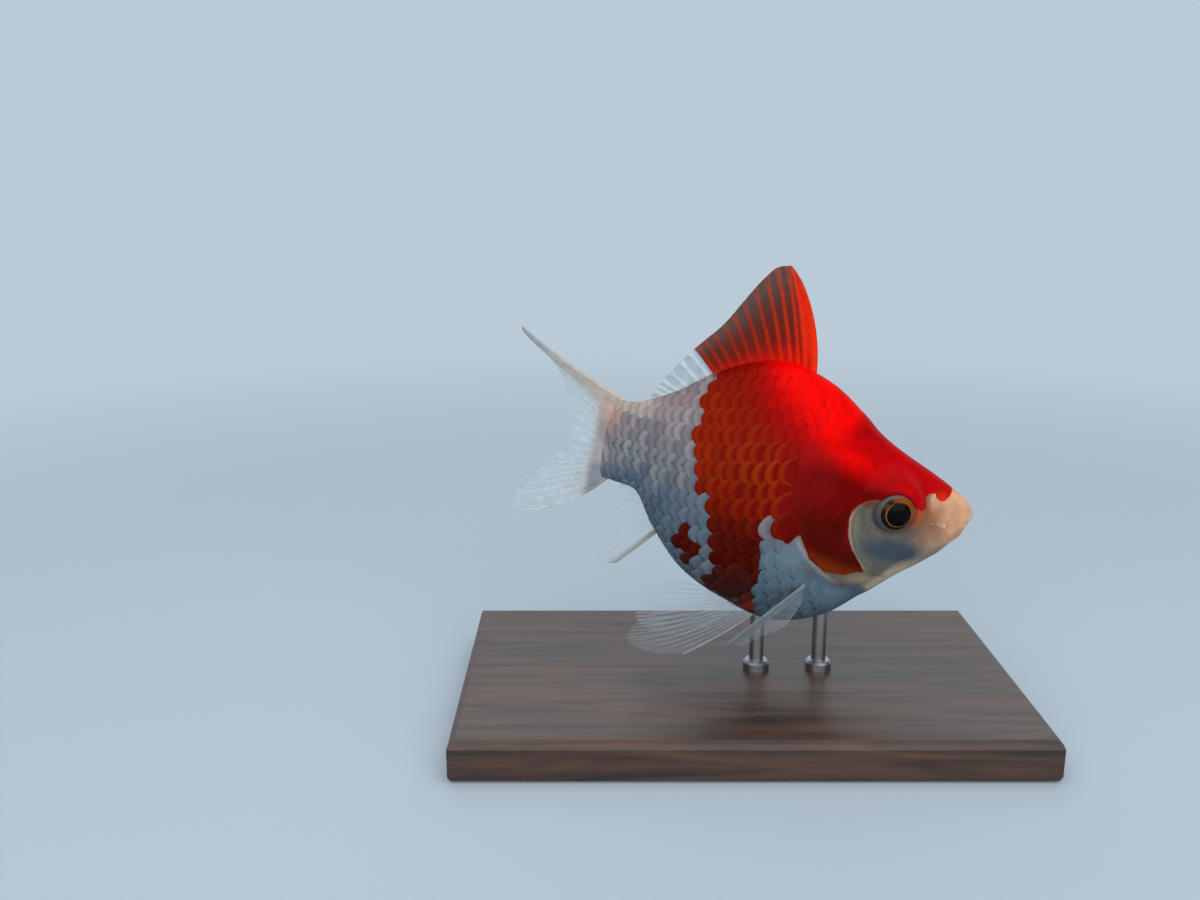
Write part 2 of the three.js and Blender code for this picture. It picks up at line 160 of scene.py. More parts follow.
# The red mantle's outline and its separate spots, and how the far side's edges wander from these.
MANTLE = [
    (-14.7, 30), (-14.5, 17.2), (-16, 14.1), (-16.3, 8.3), (-15.2, 2.7), (-14.1, -1.3), (-12.2, -4.6),
    (-11, -9.2), (-9, -13.1), (-7.3, -16.6), (-8.8, -15.6), (-9.8, -15.9), (-9.6, -19), (-7, -21),
    (-3.5, -22.5), (-1, -30), (0.5, -30), (0.5, -23), (-0.3, -20.7), (-0.8, -18.6), (-1.8, -16.1),
    (-1.9, -13.5), (-2.5, -10.1), (-3, -6.4), (-2.8, -4.8), (-1.5, -5.6), (0, -7.2), (1.3, -7.8),
    (2.2, -6.6), (2.8, -5.6), (5.4, -9.5), (8.6, -11.3), (12, -11.6), (14.6, -10.9), (16.1, -11),
    (14.7, -9.5), (12.5, -7.2), (11.1, -4.8), (10.6, -2.4), (10.8, -0.8), (11.7, 0.3), (12.7, 0.9),
    (13.8, 1.3), (15, 1.6), (18.9, 2), (22.5, 1.2), (23.4, 1.4), (23.6, 2), (23.2, 2.7), (23.5, 3.2),
    (24.3, 3.7), (25, 3.8), (25.5, 3.2), (26.4, 2.7), (27.2, 2.9), (28.1, 3.7), (28.9, 4.6), (29.6, 5.6),
    (34, 30)]
SPOTS = [
    [(-15.1, -13.1), (-15.6, -10), (-14.5, -9.1), (-13.4, -9.9), (-11.8, -13.1), (-11.5, -15.7),
     (-11.7, -17.6), (-13.6, -16.3)]]


def linear(code):
    """An sRGB hex colour as a linear RGBA array."""
    srgb = np.array([int(code[i:i + 2], 16) for i in (1, 3, 5)]) / 255
    return np.append(np.where(srgb <= 0.04045, srgb / 12.92, ((srgb + 0.055) / 1.055) ** 2.4), 1.0)


def spread(code, like):
    """One colour at every point."""
    return linear(code) + np.zeros(np.shape(like) + (4,))


def glazed(colour, *layers):
    """Colours with glazes laid over them in turn, each by its own weight at each point."""
    for code, weight in layers:
        colour = colour + (linear(code) - colour) * np.clip(weight, 0, 1)[..., None]
    return colour


def red_depth(x, y, z):
    """How far inside the red markings each point lies, in mm."""
    far = ramp(y, -1, 4)
    x = x + far * (1.5 * np.sin(z / 4.2 + 0.8) - 0.6 * np.sin(z / 1.9))
    z = z + far * 1.1 * np.sin(x / 5.0)
    depth = from_line(x, z, MANTLE, True)
    for spot in SPOTS:
        depth = np.maximum(depth, from_line(x, z, spot, True))
    return depth


def pigment_light_and_shade(x, z):
    """The red pigment's colour: scarlet on the back, orange-red on the flank, maroon on the belly. The
    scarlet is partly painted light from above, and the maroon partly painted shade.
    """
    cover = ramp(from_line(x, z, HEAD_REGION, True), -1.5, 2)
    return glazed(
        spread("#7C0804", x),
        # Lighter and more scarlet towards the back: partly the red's own shades, partly painted light from
        # above.
        ("#900604", ramp(z + 0.3 * x, 1, 7)),
        ("#C00404", ramp(z + 0.6 * x, 6, 13)),
        ("#FC0605", ramp(z + 0.9 * x, 9.5, 17)),
        ("#881004", ramp(-x, 4, 11) * ramp(z, 2, 10)),
        # Darker and browner towards the belly: partly the red's own shades, partly painted shade.
        ("#4A0C05", ramp(-z, 1, 9)),
        ("#3C1C1C", ramp(-z, 12.5, 17) * ramp(-x, -6, -2)),
        ("#B04020", hump(x, z, -0.6, -21.4, 1.6, 1.6) * 0.7),
        # On the head: lighter over the crown and forehead, partly painted light from above.
        ("#B80406", cover * ramp(z + 0.5 * x, 10.5, 16)),
        ("#C2040A", cover * ramp(x + 0.4 * z, 14, 19)),
        # Darker on the gill cover and lower head: partly painted shade.
        ("#740202", cover * ramp(-z - 0.1 * x, -9, -3.5) * ramp(-x, -20, -15)),
        ("#4A0A02", cover * ramp(-z, -1, 4) * 0.85),
        ("#A00A04", hump(x, z, 11.6, -3.8, 1.2, 2.4) * 0.5),
        ("#80320A", cover * ramp(-z - 0.25 * (x - 9), 8.2, 10.6) * 0.85),
        ("#D5300E", hump(x, z, 26.6, 3.4, 1.3, 1.0) * 0.8))


def pale(x, z):
    """The unpigmented skin's colour: pearl grey on the flank, blue-grey below, peach on the snout. The
    blue-grey below is painted blue light from below and partly painted shade.
    """
    head = ramp(from_line(x, z, HEAD_REGION, True), -0.2, 1)
    above_outline = z - belly_line(x)
    free_edge = np.exp(-(((from_line(x, z, HEAD_EDGE) - 0.15) / 0.22) ** 2))
    rim = from_line(x, z, CHEEK_EDGE)
    lines = np.exp(-((rim / 0.24) ** 2)) + 0.25 * np.exp(-(((rim - 1.1) / 0.2) ** 2)) * head
    return glazed(
        spread("#706C76", x),
        ("#8A747A", hump(x, z, -19, 10, 6, 5) * 0.8),
        # Blue-grey on the lower stem, belly and breast: painted blue light from below, and partly painted
        # shade.
        ("#646C76", ramp(-z, -3, 1.5) * ramp(-x, 9, 12)),
        ("#50657A", ramp(-z, 1, 6) * ramp(-x, 9, 12)),
        ("#58707F", ramp(-z, 6, 10) * ramp(x, -12, -5)),
        ("#707F88", hump(x, z, 3, -10.0, 3.4, 2.4) * 0.7),
        ("#54697A", ramp(-z, 13, 19) * 0.8),
        ("#6C879A", hump(x, z, 12, -16, 3.5, 2.5) * 0.6),
        # Painted highlight: cream along the top of the tail stem.
        ("#E0CBB0", hump(x, z, -28.2, 7.8, 4.4, 1.6)),
        ("#CC9C88", hump(x, z, -30.0, 4.2, 1.8, 2.2) * 0.9),
        ("#B4A4A6", hump(x, z, -30.2, -3.0, 1.2, 2.8) * 0.8),
        ("#6A3A2C", hump(x, z + 0.3 * (x - 12), 12, -13.4, 2.6, 0.8) * 0.7),
        ("#62565F", hump(x, z, 6.8, -11.6, 1.9, 1.5) * 0.65),
        ("#A89C98", free_edge * ramp(-z, 5.5, 7.5) * ramp(-x, -13, -9) * 0.8),
        # Cheek grey and snout peach: partly painted shade on the cheek, partly painted light on the snout.
        ("#6A665D", head),
        ("#9E7860", head * ramp(x - 0.1 * z, 22, 25.5)),
        ("#D6A07C", head * ramp(x + 0.45 * z, 24.8, 29)),
        ("#E8B492", head * ramp(x + 1.2 * z, 31, 37)),
        # Painted light from below: cream under the cheek.
        ("#A89878", hump(x, z, 15.8, -12.3, 2.2, 0.9) * 0.8),
        ("#6A5648", hump(x, z, 25.2, -1.4, 1.5, 1.7) * 0.4),
        # Painted light from below: cream along the head's lower edge.
        ("#C0B09A", head * ramp(-above_outline, -6.4, -3.8) * ramp(-x, -29.5, -25)),
        ("#B0907A", hump(x, z, 27.4, -5.0, 2.2, 1.4) * 0.8),
        ("#454F5B", 1.6 * hump(x + 0.5 * (z + 7), z, 19.9, -6.8, 5.8, 1.8)),
        ("#A65E36", hump(x, z, 24.2, 0.9, 1.9, 1.7) * 0.85),
        ("#C85A16", hump(x, z, 22.3, 0.2, 0.9, 2.0)),
        ("#6E4026", hump(x, z, 13.6, 0.7, 1.7, 0.8)),
        ("#DCA088", hump(x, z, 25.2, 2.6, 0.9, 1.3) * 0.85),
        ("#E2CCB4", ramp(x - 0.25 * z, 31.4, 33.4) * 0.9),
        ("#B09C74", lines * ramp(-z, -0.5, 2) * ramp(-x, -19, -15) * 0.8))


def mouth_height(x, z):
    """How far a point of the side view lies above the line of the closed mouth."""
    return z - MOUTH_Z + MOUTH_SLOPE * np.maximum(MOUTH_X - x, 0)


def nostril_flap(x, z, middle_z):
    """The narrow flap of skin that stands between a nostril's two pits, 1 at its middle."""
    return hump(x - 0.12 * (z - 3.4), z, 25.0, middle_z, 0.17, 0.75)


def eye_ring(x, z):
    """How far from the midplane the flat ring of skin round each eye lies."""
    rise = z - EYE_Z
    return EYE_RING_Y + 0.14 * rise + 0.07 * np.maximum(rise, 0) + 0.055 * np.abs(x - EYE_X)


def skin_relief(x, y, z, head):
    """The skin's own relief in mm: folds of the mouth, eye rims, nostrils and edges of the bones."""
    flank = ramp(np.abs(y), 2.5, 4)
    opening = np.sqrt(np.maximum(EYE_RADIUS**2 - (eye_ring(x, z) - EYE_Y) ** 2, 0))
    from_eye = np.hypot(x - EYE_X, z - EYE_Z) - opening
    relief = flank * 0.12 * np.exp(-(((from_eye - 0.6) / 0.35) ** 2))
    relief -= flank * 0.15 * np.exp(-(((from_eye + 0.1) / 0.25) ** 2))
    relief -= flank * 0.1 * np.exp(-(((from_eye - 1.8) / 0.5) ** 2))
    # The mouth: a groove between two lips, which slopes down to its corners, and a fold behind it.
    lips = ramp(x, 31, 32.2)
    above = mouth_height(x, z)
    relief -= lips * 0.2 * np.exp(-((above / 0.16) ** 2))
    relief += lips * 0.1 * np.exp(-(((np.abs(above) - 0.55) / 0.35) ** 2))
    fold = x - 30.9 + 0.25 * (z - 0.5) ** 2
    relief -= 0.08 * np.exp(-((fold / 0.4) ** 2)) * ramp(z, -3.5, -2) * ramp(z, 4, 3)
    # Each nostril: two shallow pits with a flap of skin standing between them.
    relief -= 0.16 * flank * sum(hump(x, z, *pit) for pit in NOSTRIL_PITS)
    relief += 0.26 * flank * nostril_flap(x, z, 3.4)
    # The cheek stands over the gill cover, and both end in a soft edge.
    ahead = from_line(x, z, CHEEK_EDGE + [(24, 30), (13.6, 30)], True)
    edge = from_line(x, z, CHEEK_EDGE)
    relief += head * flank * 0.2 * ramp(ahead, -0.25, 0.35) * np.exp(-((edge / 2.6) ** 2))
    relief -= head * flank * 0.14 * np.exp(-(((edge - 0.35) / 0.3) ** 2)) * (ahead < 0)
    back_edge = from_line(x, z, HEAD_EDGE)
    lower = ramp(-z, -6, -2) * ramp(z, -14, -12)
    relief += head * 0.04 * lower * np.exp(-(((back_edge - 0.6) / 0.5) ** 2))
    relief -= head * 0.05 * lower * np.exp(-(((back_edge - 1.6) / 0.5) ** 2))
    # Faint ribs fan out over the gill cover from its upper front corner.
    rib_angle = np.arctan2(x - 11.5, -(z - 4.5))
    cover = head * (ahead < 0) * ramp(edge, 0.4, 1.5) * ramp(back_edge, 0.8, 2) * ramp(-z, -5, -2)
    relief += 0.03 * cover * np.sin(rib_angle * 26)
    return relief


def face(points):
    """The head's own shape over the plain body: a flat ring round each eye, and a short lower lip."""
    x, y, z = np.moveaxis(points, -1, 0)
    from_eye = np.hypot(x - EYE_X, z - EYE_Z)
    reach = 6.6 + 1.1 * ramp(z - EYE_Z, 0, 4) * ramp(-x, -22, -17)
    weight = (1 - ramp(from_eye, 3.6, reach)) * ramp(np.abs(y), 2.5, 4)
    made = points.copy()
    made[..., 1] = np.sign(y) * (np.abs(y) + (eye_ring(x, z) - np.abs(y)) * weight)
    made[..., 0] -= 0.5 * ramp(x, 31.4, 33.3) * ramp(-mouth_height(x, z), -0.1, 0.35)
    return made


def head_weight(x, z):
    """1 on the head, 0 on the scaled body: sharp at the gill cover's edge, soft at nape and throat."""
    ahead = from_line(x, z, HEAD_REGION, True)
    soft = 0.45 + 2.6 * ramp(z, 4, 9) + 1.6 * ramp(-z, 11, 13.5)
    return ramp(ahead, -soft, soft)


def vertices_of(mesh):
    """A mesh's vertices as an array."""
    found = np.empty(len(mesh.vertices) * 3)
    mesh.vertices.foreach_get("co", found)
    return found.reshape(-1, 3)


def attribute(mesh, name, values):
    """Stores one number or one colour for each vertex."""
    values = np.asarray(values, np.float32)
    kind, field = ("FLOAT_COLOR", "color") if values.ndim == 2 else ("FLOAT", "value")
    mesh.attributes.new(name, kind, "POINT").data.foreach_set(field, np.ascontiguousarray(values).ravel())


def face_outwards(mesh):
    """Turns a closed mesh's faces round if they point inwards."""
    mesh.update()
    mesh.calc_loop_triangles()
    corners = np.empty(len(mesh.loop_triangles) * 3, int)
    mesh.loop_triangles.foreach_get("vertices", corners)
    a, b, c = np.moveaxis(vertices_of(mesh)[corners.reshape(-1, 3)], 1, 0)
    if np.einsum("ij,ij->", a, np.cross(b, c)) < 0:
        mesh.flip_normals()


def mesh_of(bm, name, points=None):
    """A mesh from a closed bmesh, with its vertices moved to the given places."""
    mesh = bpy.data.meshes.new(name)
    bm.to_mesh(mesh)
    bm.free()
    if points is not None:
        mesh.vertices.foreach_set("co", np.asarray(points, float).ravel())
    face_outwards(mesh)
    return mesh


def add_piece(mesh, material, nodes=()):
    """Shows a finished mesh as a piece of the model, in place of the CAD nodes that it stands for."""
    mesh.shade_smooth()
    mesh.materials.append(material)
    piece = bpy.data.objects.new(mesh.name, mesh)
    bpy.context.scene.collection.objects.link(piece)
    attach(piece, "root")
    if nodes:
        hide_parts(*nodes)
    return piece


def new_material(name):
    """An empty node material."""
    material = bpy.data.materials.new(name)
    material.use_nodes = True
    material.node_tree.nodes.clear()
    return material


def node(material, kind, inputs=None, out=0, **settings):
    """Adds a shader node and gives back one of its outputs; an input is a socket to link or a value."""
    made = material.node_tree.nodes.new("ShaderNode" + kind)
    for name, value in settings.items():
        setattr(made, name, value)
    for name, value in (inputs or {}).items():
        if isinstance(value, bpy.types.NodeSocket):
            material.node_tree.links.new(value, made.inputs[name])
        else:
            made.inputs[name].default_value = value
    return made.outputs[out] if made.outputs else made


# Painted resin skin: thin glazes over a pale ground, under a faint clear varnish. The varnish gives the
# eye a moist surface, and the mottling the brushed glazes. Pale gold flecks between the fish's eyes and
# mouth are painted glints, the light caught by silvery specks in the skin, and the red ends in a ragged
# edge about 0.25 mm wide. Each pattern's scale is how many of its marks lie on a millimetre.
skin_paint = new_material("glazed_resin_skin")
where = node(skin_paint, "TexCoord", out="Object")
red = node(skin_paint, "Attribute", attribute_name="red", out="Fac")
ragged = node(skin_paint, "TexNoise", {"Vector": where, "Scale": 0.9 / MM, "Detail": 3})
ragged = node(skin_paint, "MapRange", {"Value": ragged, 3: -0.14, 4: 0.14})
inside = node(skin_paint, "Math", {0: red, 1: ragged}, operation="ADD")
inside = node(skin_paint, "MapRange", {"Value": inside, 1: -0.12, 2: 0.12}, interpolation_type="SMOOTHSTEP")
glaze = node(skin_paint, "Mix", {
    0: inside,
    6: node(skin_paint, "Attribute", attribute_name="pale"),
    7: node(skin_paint, "Attribute", attribute_name="pigment_light_and_shade")}, data_type="RGBA", out=2)
mottle = node(skin_paint, "TexNoise", {"Vector": where, "Scale": 0.42 / MM, "Detail": 5, "Roughness": 0.65})
mottle = node(skin_paint, "MapRange", {"Value": mottle, 1: 0.3, 2: 0.7, 3: 0.8, 4: 1.15})
speckle = node(skin_paint, "TexVoronoi", {"Vector": where, "Scale": 2.6 / MM}, feature="F1")
speckle = node(skin_paint, "MapRange", {"Value": speckle, 1: 0.1, 2: 0.3})
dotted = node(skin_paint, "Attribute", attribute_name="dots", out="Fac")
dots = node(skin_paint, "MapRange", {"Value": dotted, 3: 1.0, 4: speckle})
toned = node(skin_paint, "Math", {0: mottle, 1: dots}, operation="MULTIPLY")
glaze = node(
    skin_paint, "Mix", {0: 1.0, 6: glaze, 7: toned}, data_type="RGBA", blend_type="MULTIPLY", out=2)
# Painted glints: pale gold flecks, the light caught by silvery specks between the eyes and mouth.
glint_fleck = node(skin_paint, "TexNoise", {"Vector": where, "Scale": 3.4 / MM, "Detail": 1})
glint_mask = node(skin_paint, "Attribute", attribute_name="painted_glints", out="Fac")
glint_fleck = node(skin_paint, "Math", {0: glint_fleck, 1: glint_mask}, operation="ADD")
glint_fleck = node(skin_paint, "MapRange", {"Value": glint_fleck, 1: 1.5, 2: 1.58})
glaze = node(skin_paint, "Mix", {0: glint_fleck, 6: glaze, 7: linear("#E6CC9C")}, data_type="RGBA", out=2)
grain = node(skin_paint, "TexNoise", {"Vector": where, "Scale": 1.8 / MM, "Detail": 4})
bumps = node(skin_paint, "Bump", {"Height": grain, "Strength": 0.25, "Distance": 0.08 * MM})
skin_shader = node(skin_paint, "BsdfPrincipled", {
    "Base Color": glaze, "Roughness": 0.4, "Specular IOR Level": 0.02, "Coat Weight": 0.03,
    "Coat Roughness": 0.1, "Normal": bumps})
node(skin_paint, "OutputMaterial", {"Surface": skin_shader})

SKIN_ROUND, SKIN_ALONG = 256, 280
ball = bmesh.new()
bmesh.ops.create_uvsphere(ball, u_segments=SKIN_ROUND, v_segments=SKIN_ALONG, radius=1)
unit = np.array([v.co for v in ball.verts])
share = np.arccos(np.clip(unit[:, 2], -1, 1)) / math.pi
turn = np.arctan2(unit[:, 1], unit[:, 0])
# Stations bunch on the snout and the head: shares of the way from pole to pole, and where each ends.
SNOUT_SHARE, HEAD_SHARE, STEM_SHARE, HEAD_END_X = 0.12, 0.62, 0.97, 6.0
quarter = math.pi / 2
on_snout = SNOUT_X - SNOUT_ROUND * (1 - np.cos(quarter * share / SNOUT_SHARE))
on_stem_end = STEM_END_X + STEM_ROUND * (1 - np.cos(quarter * (1 - share) / (1 - STEM_SHARE)))
between = np.interp(
    share, [SNOUT_SHARE, HEAD_SHARE, STEM_SHARE],
    [SNOUT_X - SNOUT_ROUND, HEAD_END_X, STEM_END_X + STEM_ROUND])
station = np.where(share < SNOUT_SHARE, on_snout, np.where(share < STEM_SHARE, between, on_stem_end))
plain = body(station, turn)
plain[:, 2] += 0.35 * ramp(plain[:, 0], 31, 34)
on_head = head_weight(plain[:, 0], plain[:, 2])
shaped = plain.copy()
inner = body(station, turn, -COAT_DEPTH)
shaped[:, 1:] = inner[:, 1:] + (plain - inner)[:, 1:] * on_head[:, None]
skin_mesh = mesh_of(ball, "skin", shaped)
normals = np.empty(len(unit) * 3)
skin_mesh.vertex_normals.foreach_get("vector", normals)
x, y, z = plain.T
shaped = face(shaped) + normals.reshape(-1, 3) * skin_relief(x, y, z, on_head)[:, None]
skin_mesh.vertices.foreach_set("co", in_place(shaped).ravel())
eye_middle = np.stack([0 * x + EYE_X, EYE_Y * np.sign(y), 0 * x + EYE_Z], -1)
from_ball = np.linalg.norm(shaped - eye_middle, axis=1)
eye_rim = np.exp(-(((from_ball - EYE_RADIUS - 0.2) / 0.32) ** 2))
groove = np.exp(-((mouth_height(x, z) / 0.12) ** 2)) * ramp(x, 31.4, 32.6)
flap = nostril_flap(x, z, 3.5) * ramp(np.abs(y), 2.5, 4)
bare = glazed(pale(x, z), ("#4A2A34", eye_rim * 0.62), ("#A0705A", groove * 0.6), ("#E6C4B0", flap * 0.8))
depth = red_depth(x, y, z)
attribute(skin_mesh, "red", depth)
attribute(skin_mesh, "pale", bare)
attribute(skin_mesh, "pigment_light_and_shade", glazed(pigment_light_and_shade(x, z), ("#4A1418", eye_rim * 0.7)))
attribute(skin_mesh, "dots", on_head * ramp(-z, -1, 5) * ramp(depth, 0, 0.8) * 0.35)
# Where the painted glints lie: before the eyes, near the mouth.
glint_weight = hump(x, z, 27.9, -1.2, 1.1, 0.7) + 0.95 * hump(x, z, 25.6, -0.9, 1.8, 0.8)
attribute(skin_mesh, "painted_glints", np.clip(glint_weight, 0, 1))
add_piece(skin_mesh, skin_paint,
          ["head", "lower_jaw", "gill_cover_right", "gill_cover_left", "trunk", "tail_stem"])

# ---- The scales ----
# Thin overlapping plates lie in staggered rows on each side, with their round edges to the tail. Each
# is a curved chip of tinted resin, rooted in the skin, and wholly red or wholly pearl by where its seen
# end lies. The rows are counted up and down from the lateral line, whose pearl scales have a dark pore.
row_height = curve([(-32, 2.3), (-22, 2.35), (-14, 2.7), (-5, 3.0), (5, 3.0), (14, 2.5)])
column_step = curve([(-32, 1.5), (-22, 1.5), (-13, 1.45), (-9, 1.7), (-5, 1.95), (14, 1.95)])
lateral_line = curve([(-32, -0.6), (-18, 0.0), (-8, 1.9), (1, 4.5), (14, 8.0)])
SCALE_LIFT, SCALE_THICK, ROOT_SINK = 0.2, 0.045, 0.06
SCALE_CELLS = (8, 3)
SCALE_ROWS = range(-17, 13)
FIRST_SCALE_X, LAST_SCALE_X = 13.0, -27.9
TABLE_X = np.linspace(STEM_END_X + 0.3, 20, 160)
TABLE_G = np.linspace(-46, 34, 321)


def girth_table():
    """For each station, the turn round the body at each girth distance up from the lateral line."""
    turns = np.linspace(-math.pi / 2 - 0.5, math.pi / 2 + 0.5, 500)
    rows, ends = [], []
    for station_x in TABLE_X:
        ring = body(np.full(500, station_x), turns, -COAT_DEPTH)[:, 1:]
        along = np.concatenate([[0], np.cumsum(np.hypot(*np.diff(ring, axis=0).T))])
        side = np.abs(turns) < 1.3
        zero = np.interp(lateral_line(station_x), ring[side, 1], along[side])
        rows.append(np.interp(TABLE_G, along - zero, turns))
        ends.append(np.interp([-math.pi / 2, math.pi / 2], turns, along - zero))
    return np.array(rows), np.array(ends)


turn_table, girth_ends = girth_table()


def turn_at(x, girth):
    """The turn round the body, read between the table's stations."""
    i = np.clip((x - TABLE_X[0]) / (TABLE_X[1] - TABLE_X[0]), 0, len(TABLE_X) - 1.001)
    k = np.clip((girth - TABLE_G[0]) / (TABLE_G[1] - TABLE_G[0]), 0, len(TABLE_G) - 1.001)
    i0, k0 = i.astype(int), k.astype(int)
    s, t = i - i0, k - k0
    near = turn_table[i0, k0] * (1 - t) + turn_table[i0, k0 + 1] * t
    return near * (1 - s) + (turn_table[i0 + 1, k0] * (1 - t) + turn_table[i0 + 1, k0 + 1] * t) * s


def scale_roots(side):
    """The middle of each scale: its station, its girth distance, its row, and the side it is on."""
    found, columns = [], [FIRST_SCALE_X]
    while columns[-1] > LAST_SCALE_X:
        columns.append(columns[-1] - column_step(columns[-1]))
    for row in SCALE_ROWS:
        for column in columns:
            root_x = column - (0.5 * column_step(column) if (row + (side > 0)) % 2 else 0)
            girth = row * row_height(root_x)
            low, high = (np.interp(root_x, TABLE_X, end) for end in girth_ends.T)
            margin = 0.1 * row_height(root_x)
            if low + margin < girth < high - margin and root_x > LAST_SCALE_X:
                found.append((root_x, girth, row, side))
    return found


chip = bmesh.new()
bmesh.ops.create_grid(chip, x_segments=SCALE_CELLS[0], y_segments=SCALE_CELLS[1], size=1)
bmesh.ops.solidify(chip, geom=chip.faces, thickness=1)
chip.verts.ensure_lookup_table()
chip_points = np.array([v.co for v in chip.verts])
chip_faces = np.array([[v.index for v in f.verts] for f in chip.faces])
chip.free()
across = chip_points[:, 0]
along = (chip_points[:, 1] + 1) / 2
along = np.select([along < 0.2, along < 0.5, along < 0.8], [0.0, 0.45, 0.78], 1.0)
upper = (chip_points[:, 2] - chip_points[:, 2].min()) / np.ptp(chip_points[:, 2])

rng = np.random.default_rng(11)
roots = np.array(scale_roots(-1) + scale_roots(1))
root_turn = turn_at(roots[:, 0], roots[:, 1])
root_turn = np.where(roots[:, 3] > 0, root_turn, math.pi - root_turn)
root_place = body(roots[:, 0], root_turn)
covered = head_weight(root_place[:, 0] - 1.2, root_place[:, 2])
# A chip is left out where the head covers all of it.
roots, root_turn, root_place, covered = (values[covered < 0.9] for values in (
    roots, root_turn, root_place, covered))
root_x, root_girth, side = (roots[:, [i]] for i in (0, 1, 3))
height, step = row_height(root_x), column_step(root_x)
root_x = root_x + 0.05 * step * rng.standard_normal(root_x.shape)
root_girth = root_girth + 0.03 * height * rng.standard_normal(root_x.shape)
half = 0.83 * height * (1 + 0.03 * rng.standard_normal(root_x.shape))
length = 2.25 * step
chip_reach = length - 1.2 * half * (1 - np.sqrt(1 - 0.98 * across**2))
back_from_root = along * chip_reach
chip_x = root_x + 0.05 * length - back_from_root
chip_girth = root_girth + across * half * row_height(chip_x) / height
# Scales lie flatter on the nape and along the back, and where the head's skin begins to cover them.
on_breast = ramp(-root_place[:, 2], 4, 7.5) * ramp(root_place[:, 0], -3.5, -0.5)
calm = np.maximum(ramp(root_place[:, 2] + 0.45 * root_place[:, 0], 0, 15), on_breast)[:, None]
by_tail = ramp(-root_place[:, 0], 24.5, 28)[:, None]
raised = SCALE_LIFT * (1 - 0.6 * calm) * (1 - 0.7 * covered[:, None]) * (1 - 0.6 * by_tail)
plate_thick = SCALE_THICK * (1 - 0.7 * calm) * (1 - 0.4 * (along > 0.95))
lift = -ROOT_SINK + raised * back_from_root / length + plate_thick * upper
chip_turn = turn_at(chip_x, chip_girth)
chip_turn = np.where(side > 0, chip_turn, math.pi - chip_turn)
scale_points = in_place(body(chip_x, chip_turn, -COAT_DEPTH + lift))

count, corners = len(roots), len(chip_points)
faces = chip_faces[None] + (np.arange(count) * corners)[:, None, None]
scale_mesh = bpy.data.meshes.new("scales")
wound = np.where(side[:, :, None] > 0, faces, faces[:, :, ::-1]).reshape(-1, 4)
scale_mesh.from_pydata(scale_points.reshape(-1, 3), [], wound.tolist())
face_outwards(scale_mesh)

# The seen part of a scale is its rear end, so the markings are taken there.
seen_x = (root_x - 1.6 * step)[:, 0]
seen_turn = turn_at(seen_x, root_girth[:, 0] * row_height(seen_x) / height[:, 0])
seen = body(seen_x, np.where(side[:, 0] > 0, seen_turn, math.pi - seen_turn))
end_x, end_z = seen[:, 0], seen[:, 2]
red_scale = (red_depth(*seen.T) > 0.1 * rng.standard_normal(count))[:, None]
tone = 1 + 0.07 * (1 - 0.8 * calm) * rng.standard_normal((count, 1))
tone = np.append(np.repeat(tone, 3, 1), np.ones((count, 1)), 1)
ground = np.where(red_scale, pigment_light_and_shade(end_x, end_z), pale(end_x, end_z))
# On the flank each red scale has an orange band behind, and each pearl one a pale band. The bands are
# partly their own colour and partly a painted highlight where the free edge catches light from above; the
# darker grounds are partly painted shade from the scale in front.
orange = ramp(-end_z - 0.45 * end_x, -10.5, -2) * (1 - 0.8 * ramp(-end_z, 0, 9))
orange = orange * rng.uniform(0.7, 1.05, count) * (0.7 + 0.4 * hump(end_x, end_z, -4, 3, 6, 4))
orange = orange * (1 - 0.6 * ramp(end_x + 0.2 * end_z, -3, 0.5))
glow = rng.uniform(0.25, 1, count) * (1 - 0.55 * ramp(-end_z, 0, 7)) * (1 - 0.7 * ramp(end_x, -4, 0))
rim = np.where(
    red_scale, glazed(ground, ("#942D03", 0.95 * orange)), glazed(ground, ("#B4AFA8", 0.46 * glow)))
ground = np.where(
    red_scale, glazed(ground, ("#620202", 0.4 * orange)), glazed(ground, ("#565A64", 0.3 + 0 * glow)))
pored = (roots[:, 2] == 0) & (roots[:, 0] < -14) & ~red_scale[:, 0]
for name, values in (("ground", ground * tone), ("rim", rim * tone), ("line", pored)):
    attribute(scale_mesh, name, np.repeat(values, corners, 0))
attribute(scale_mesh, "edge", (chip_reach * (1 - along)).ravel())
attribute(scale_mesh, "across", (across * half).ravel())
# The baking map: each scale is a patch 0.003 across at its root's place on the unwrapped skin.
PATCH = 0.003
flat_u = 0.05 + 0.9 * (SNOUT_X - roots[:, [0]]) / (SNOUT_X - STEM_END_X)
from_back = np.arctan2(np.sin(root_turn - math.pi / 2), np.cos(root_turn - math.pi / 2))[:, None]
flat_v = 0.5 + 0.9 * from_back / (2 * math.pi)
patch_uv = np.stack([flat_u + PATCH * (along - 0.5), flat_v + PATCH * 0.5 * across], -1)
corner_vertex = np.empty(len(scale_mesh.loops), int)
scale_mesh.loops.foreach_get("vertex_index", corner_vertex)
bake_map = scale_mesh.uv_layers.new(name="OFBake")
bake_map.data.foreach_set("uv", patch_uv.reshape(-1, 2)[corner_vertex].ravel())

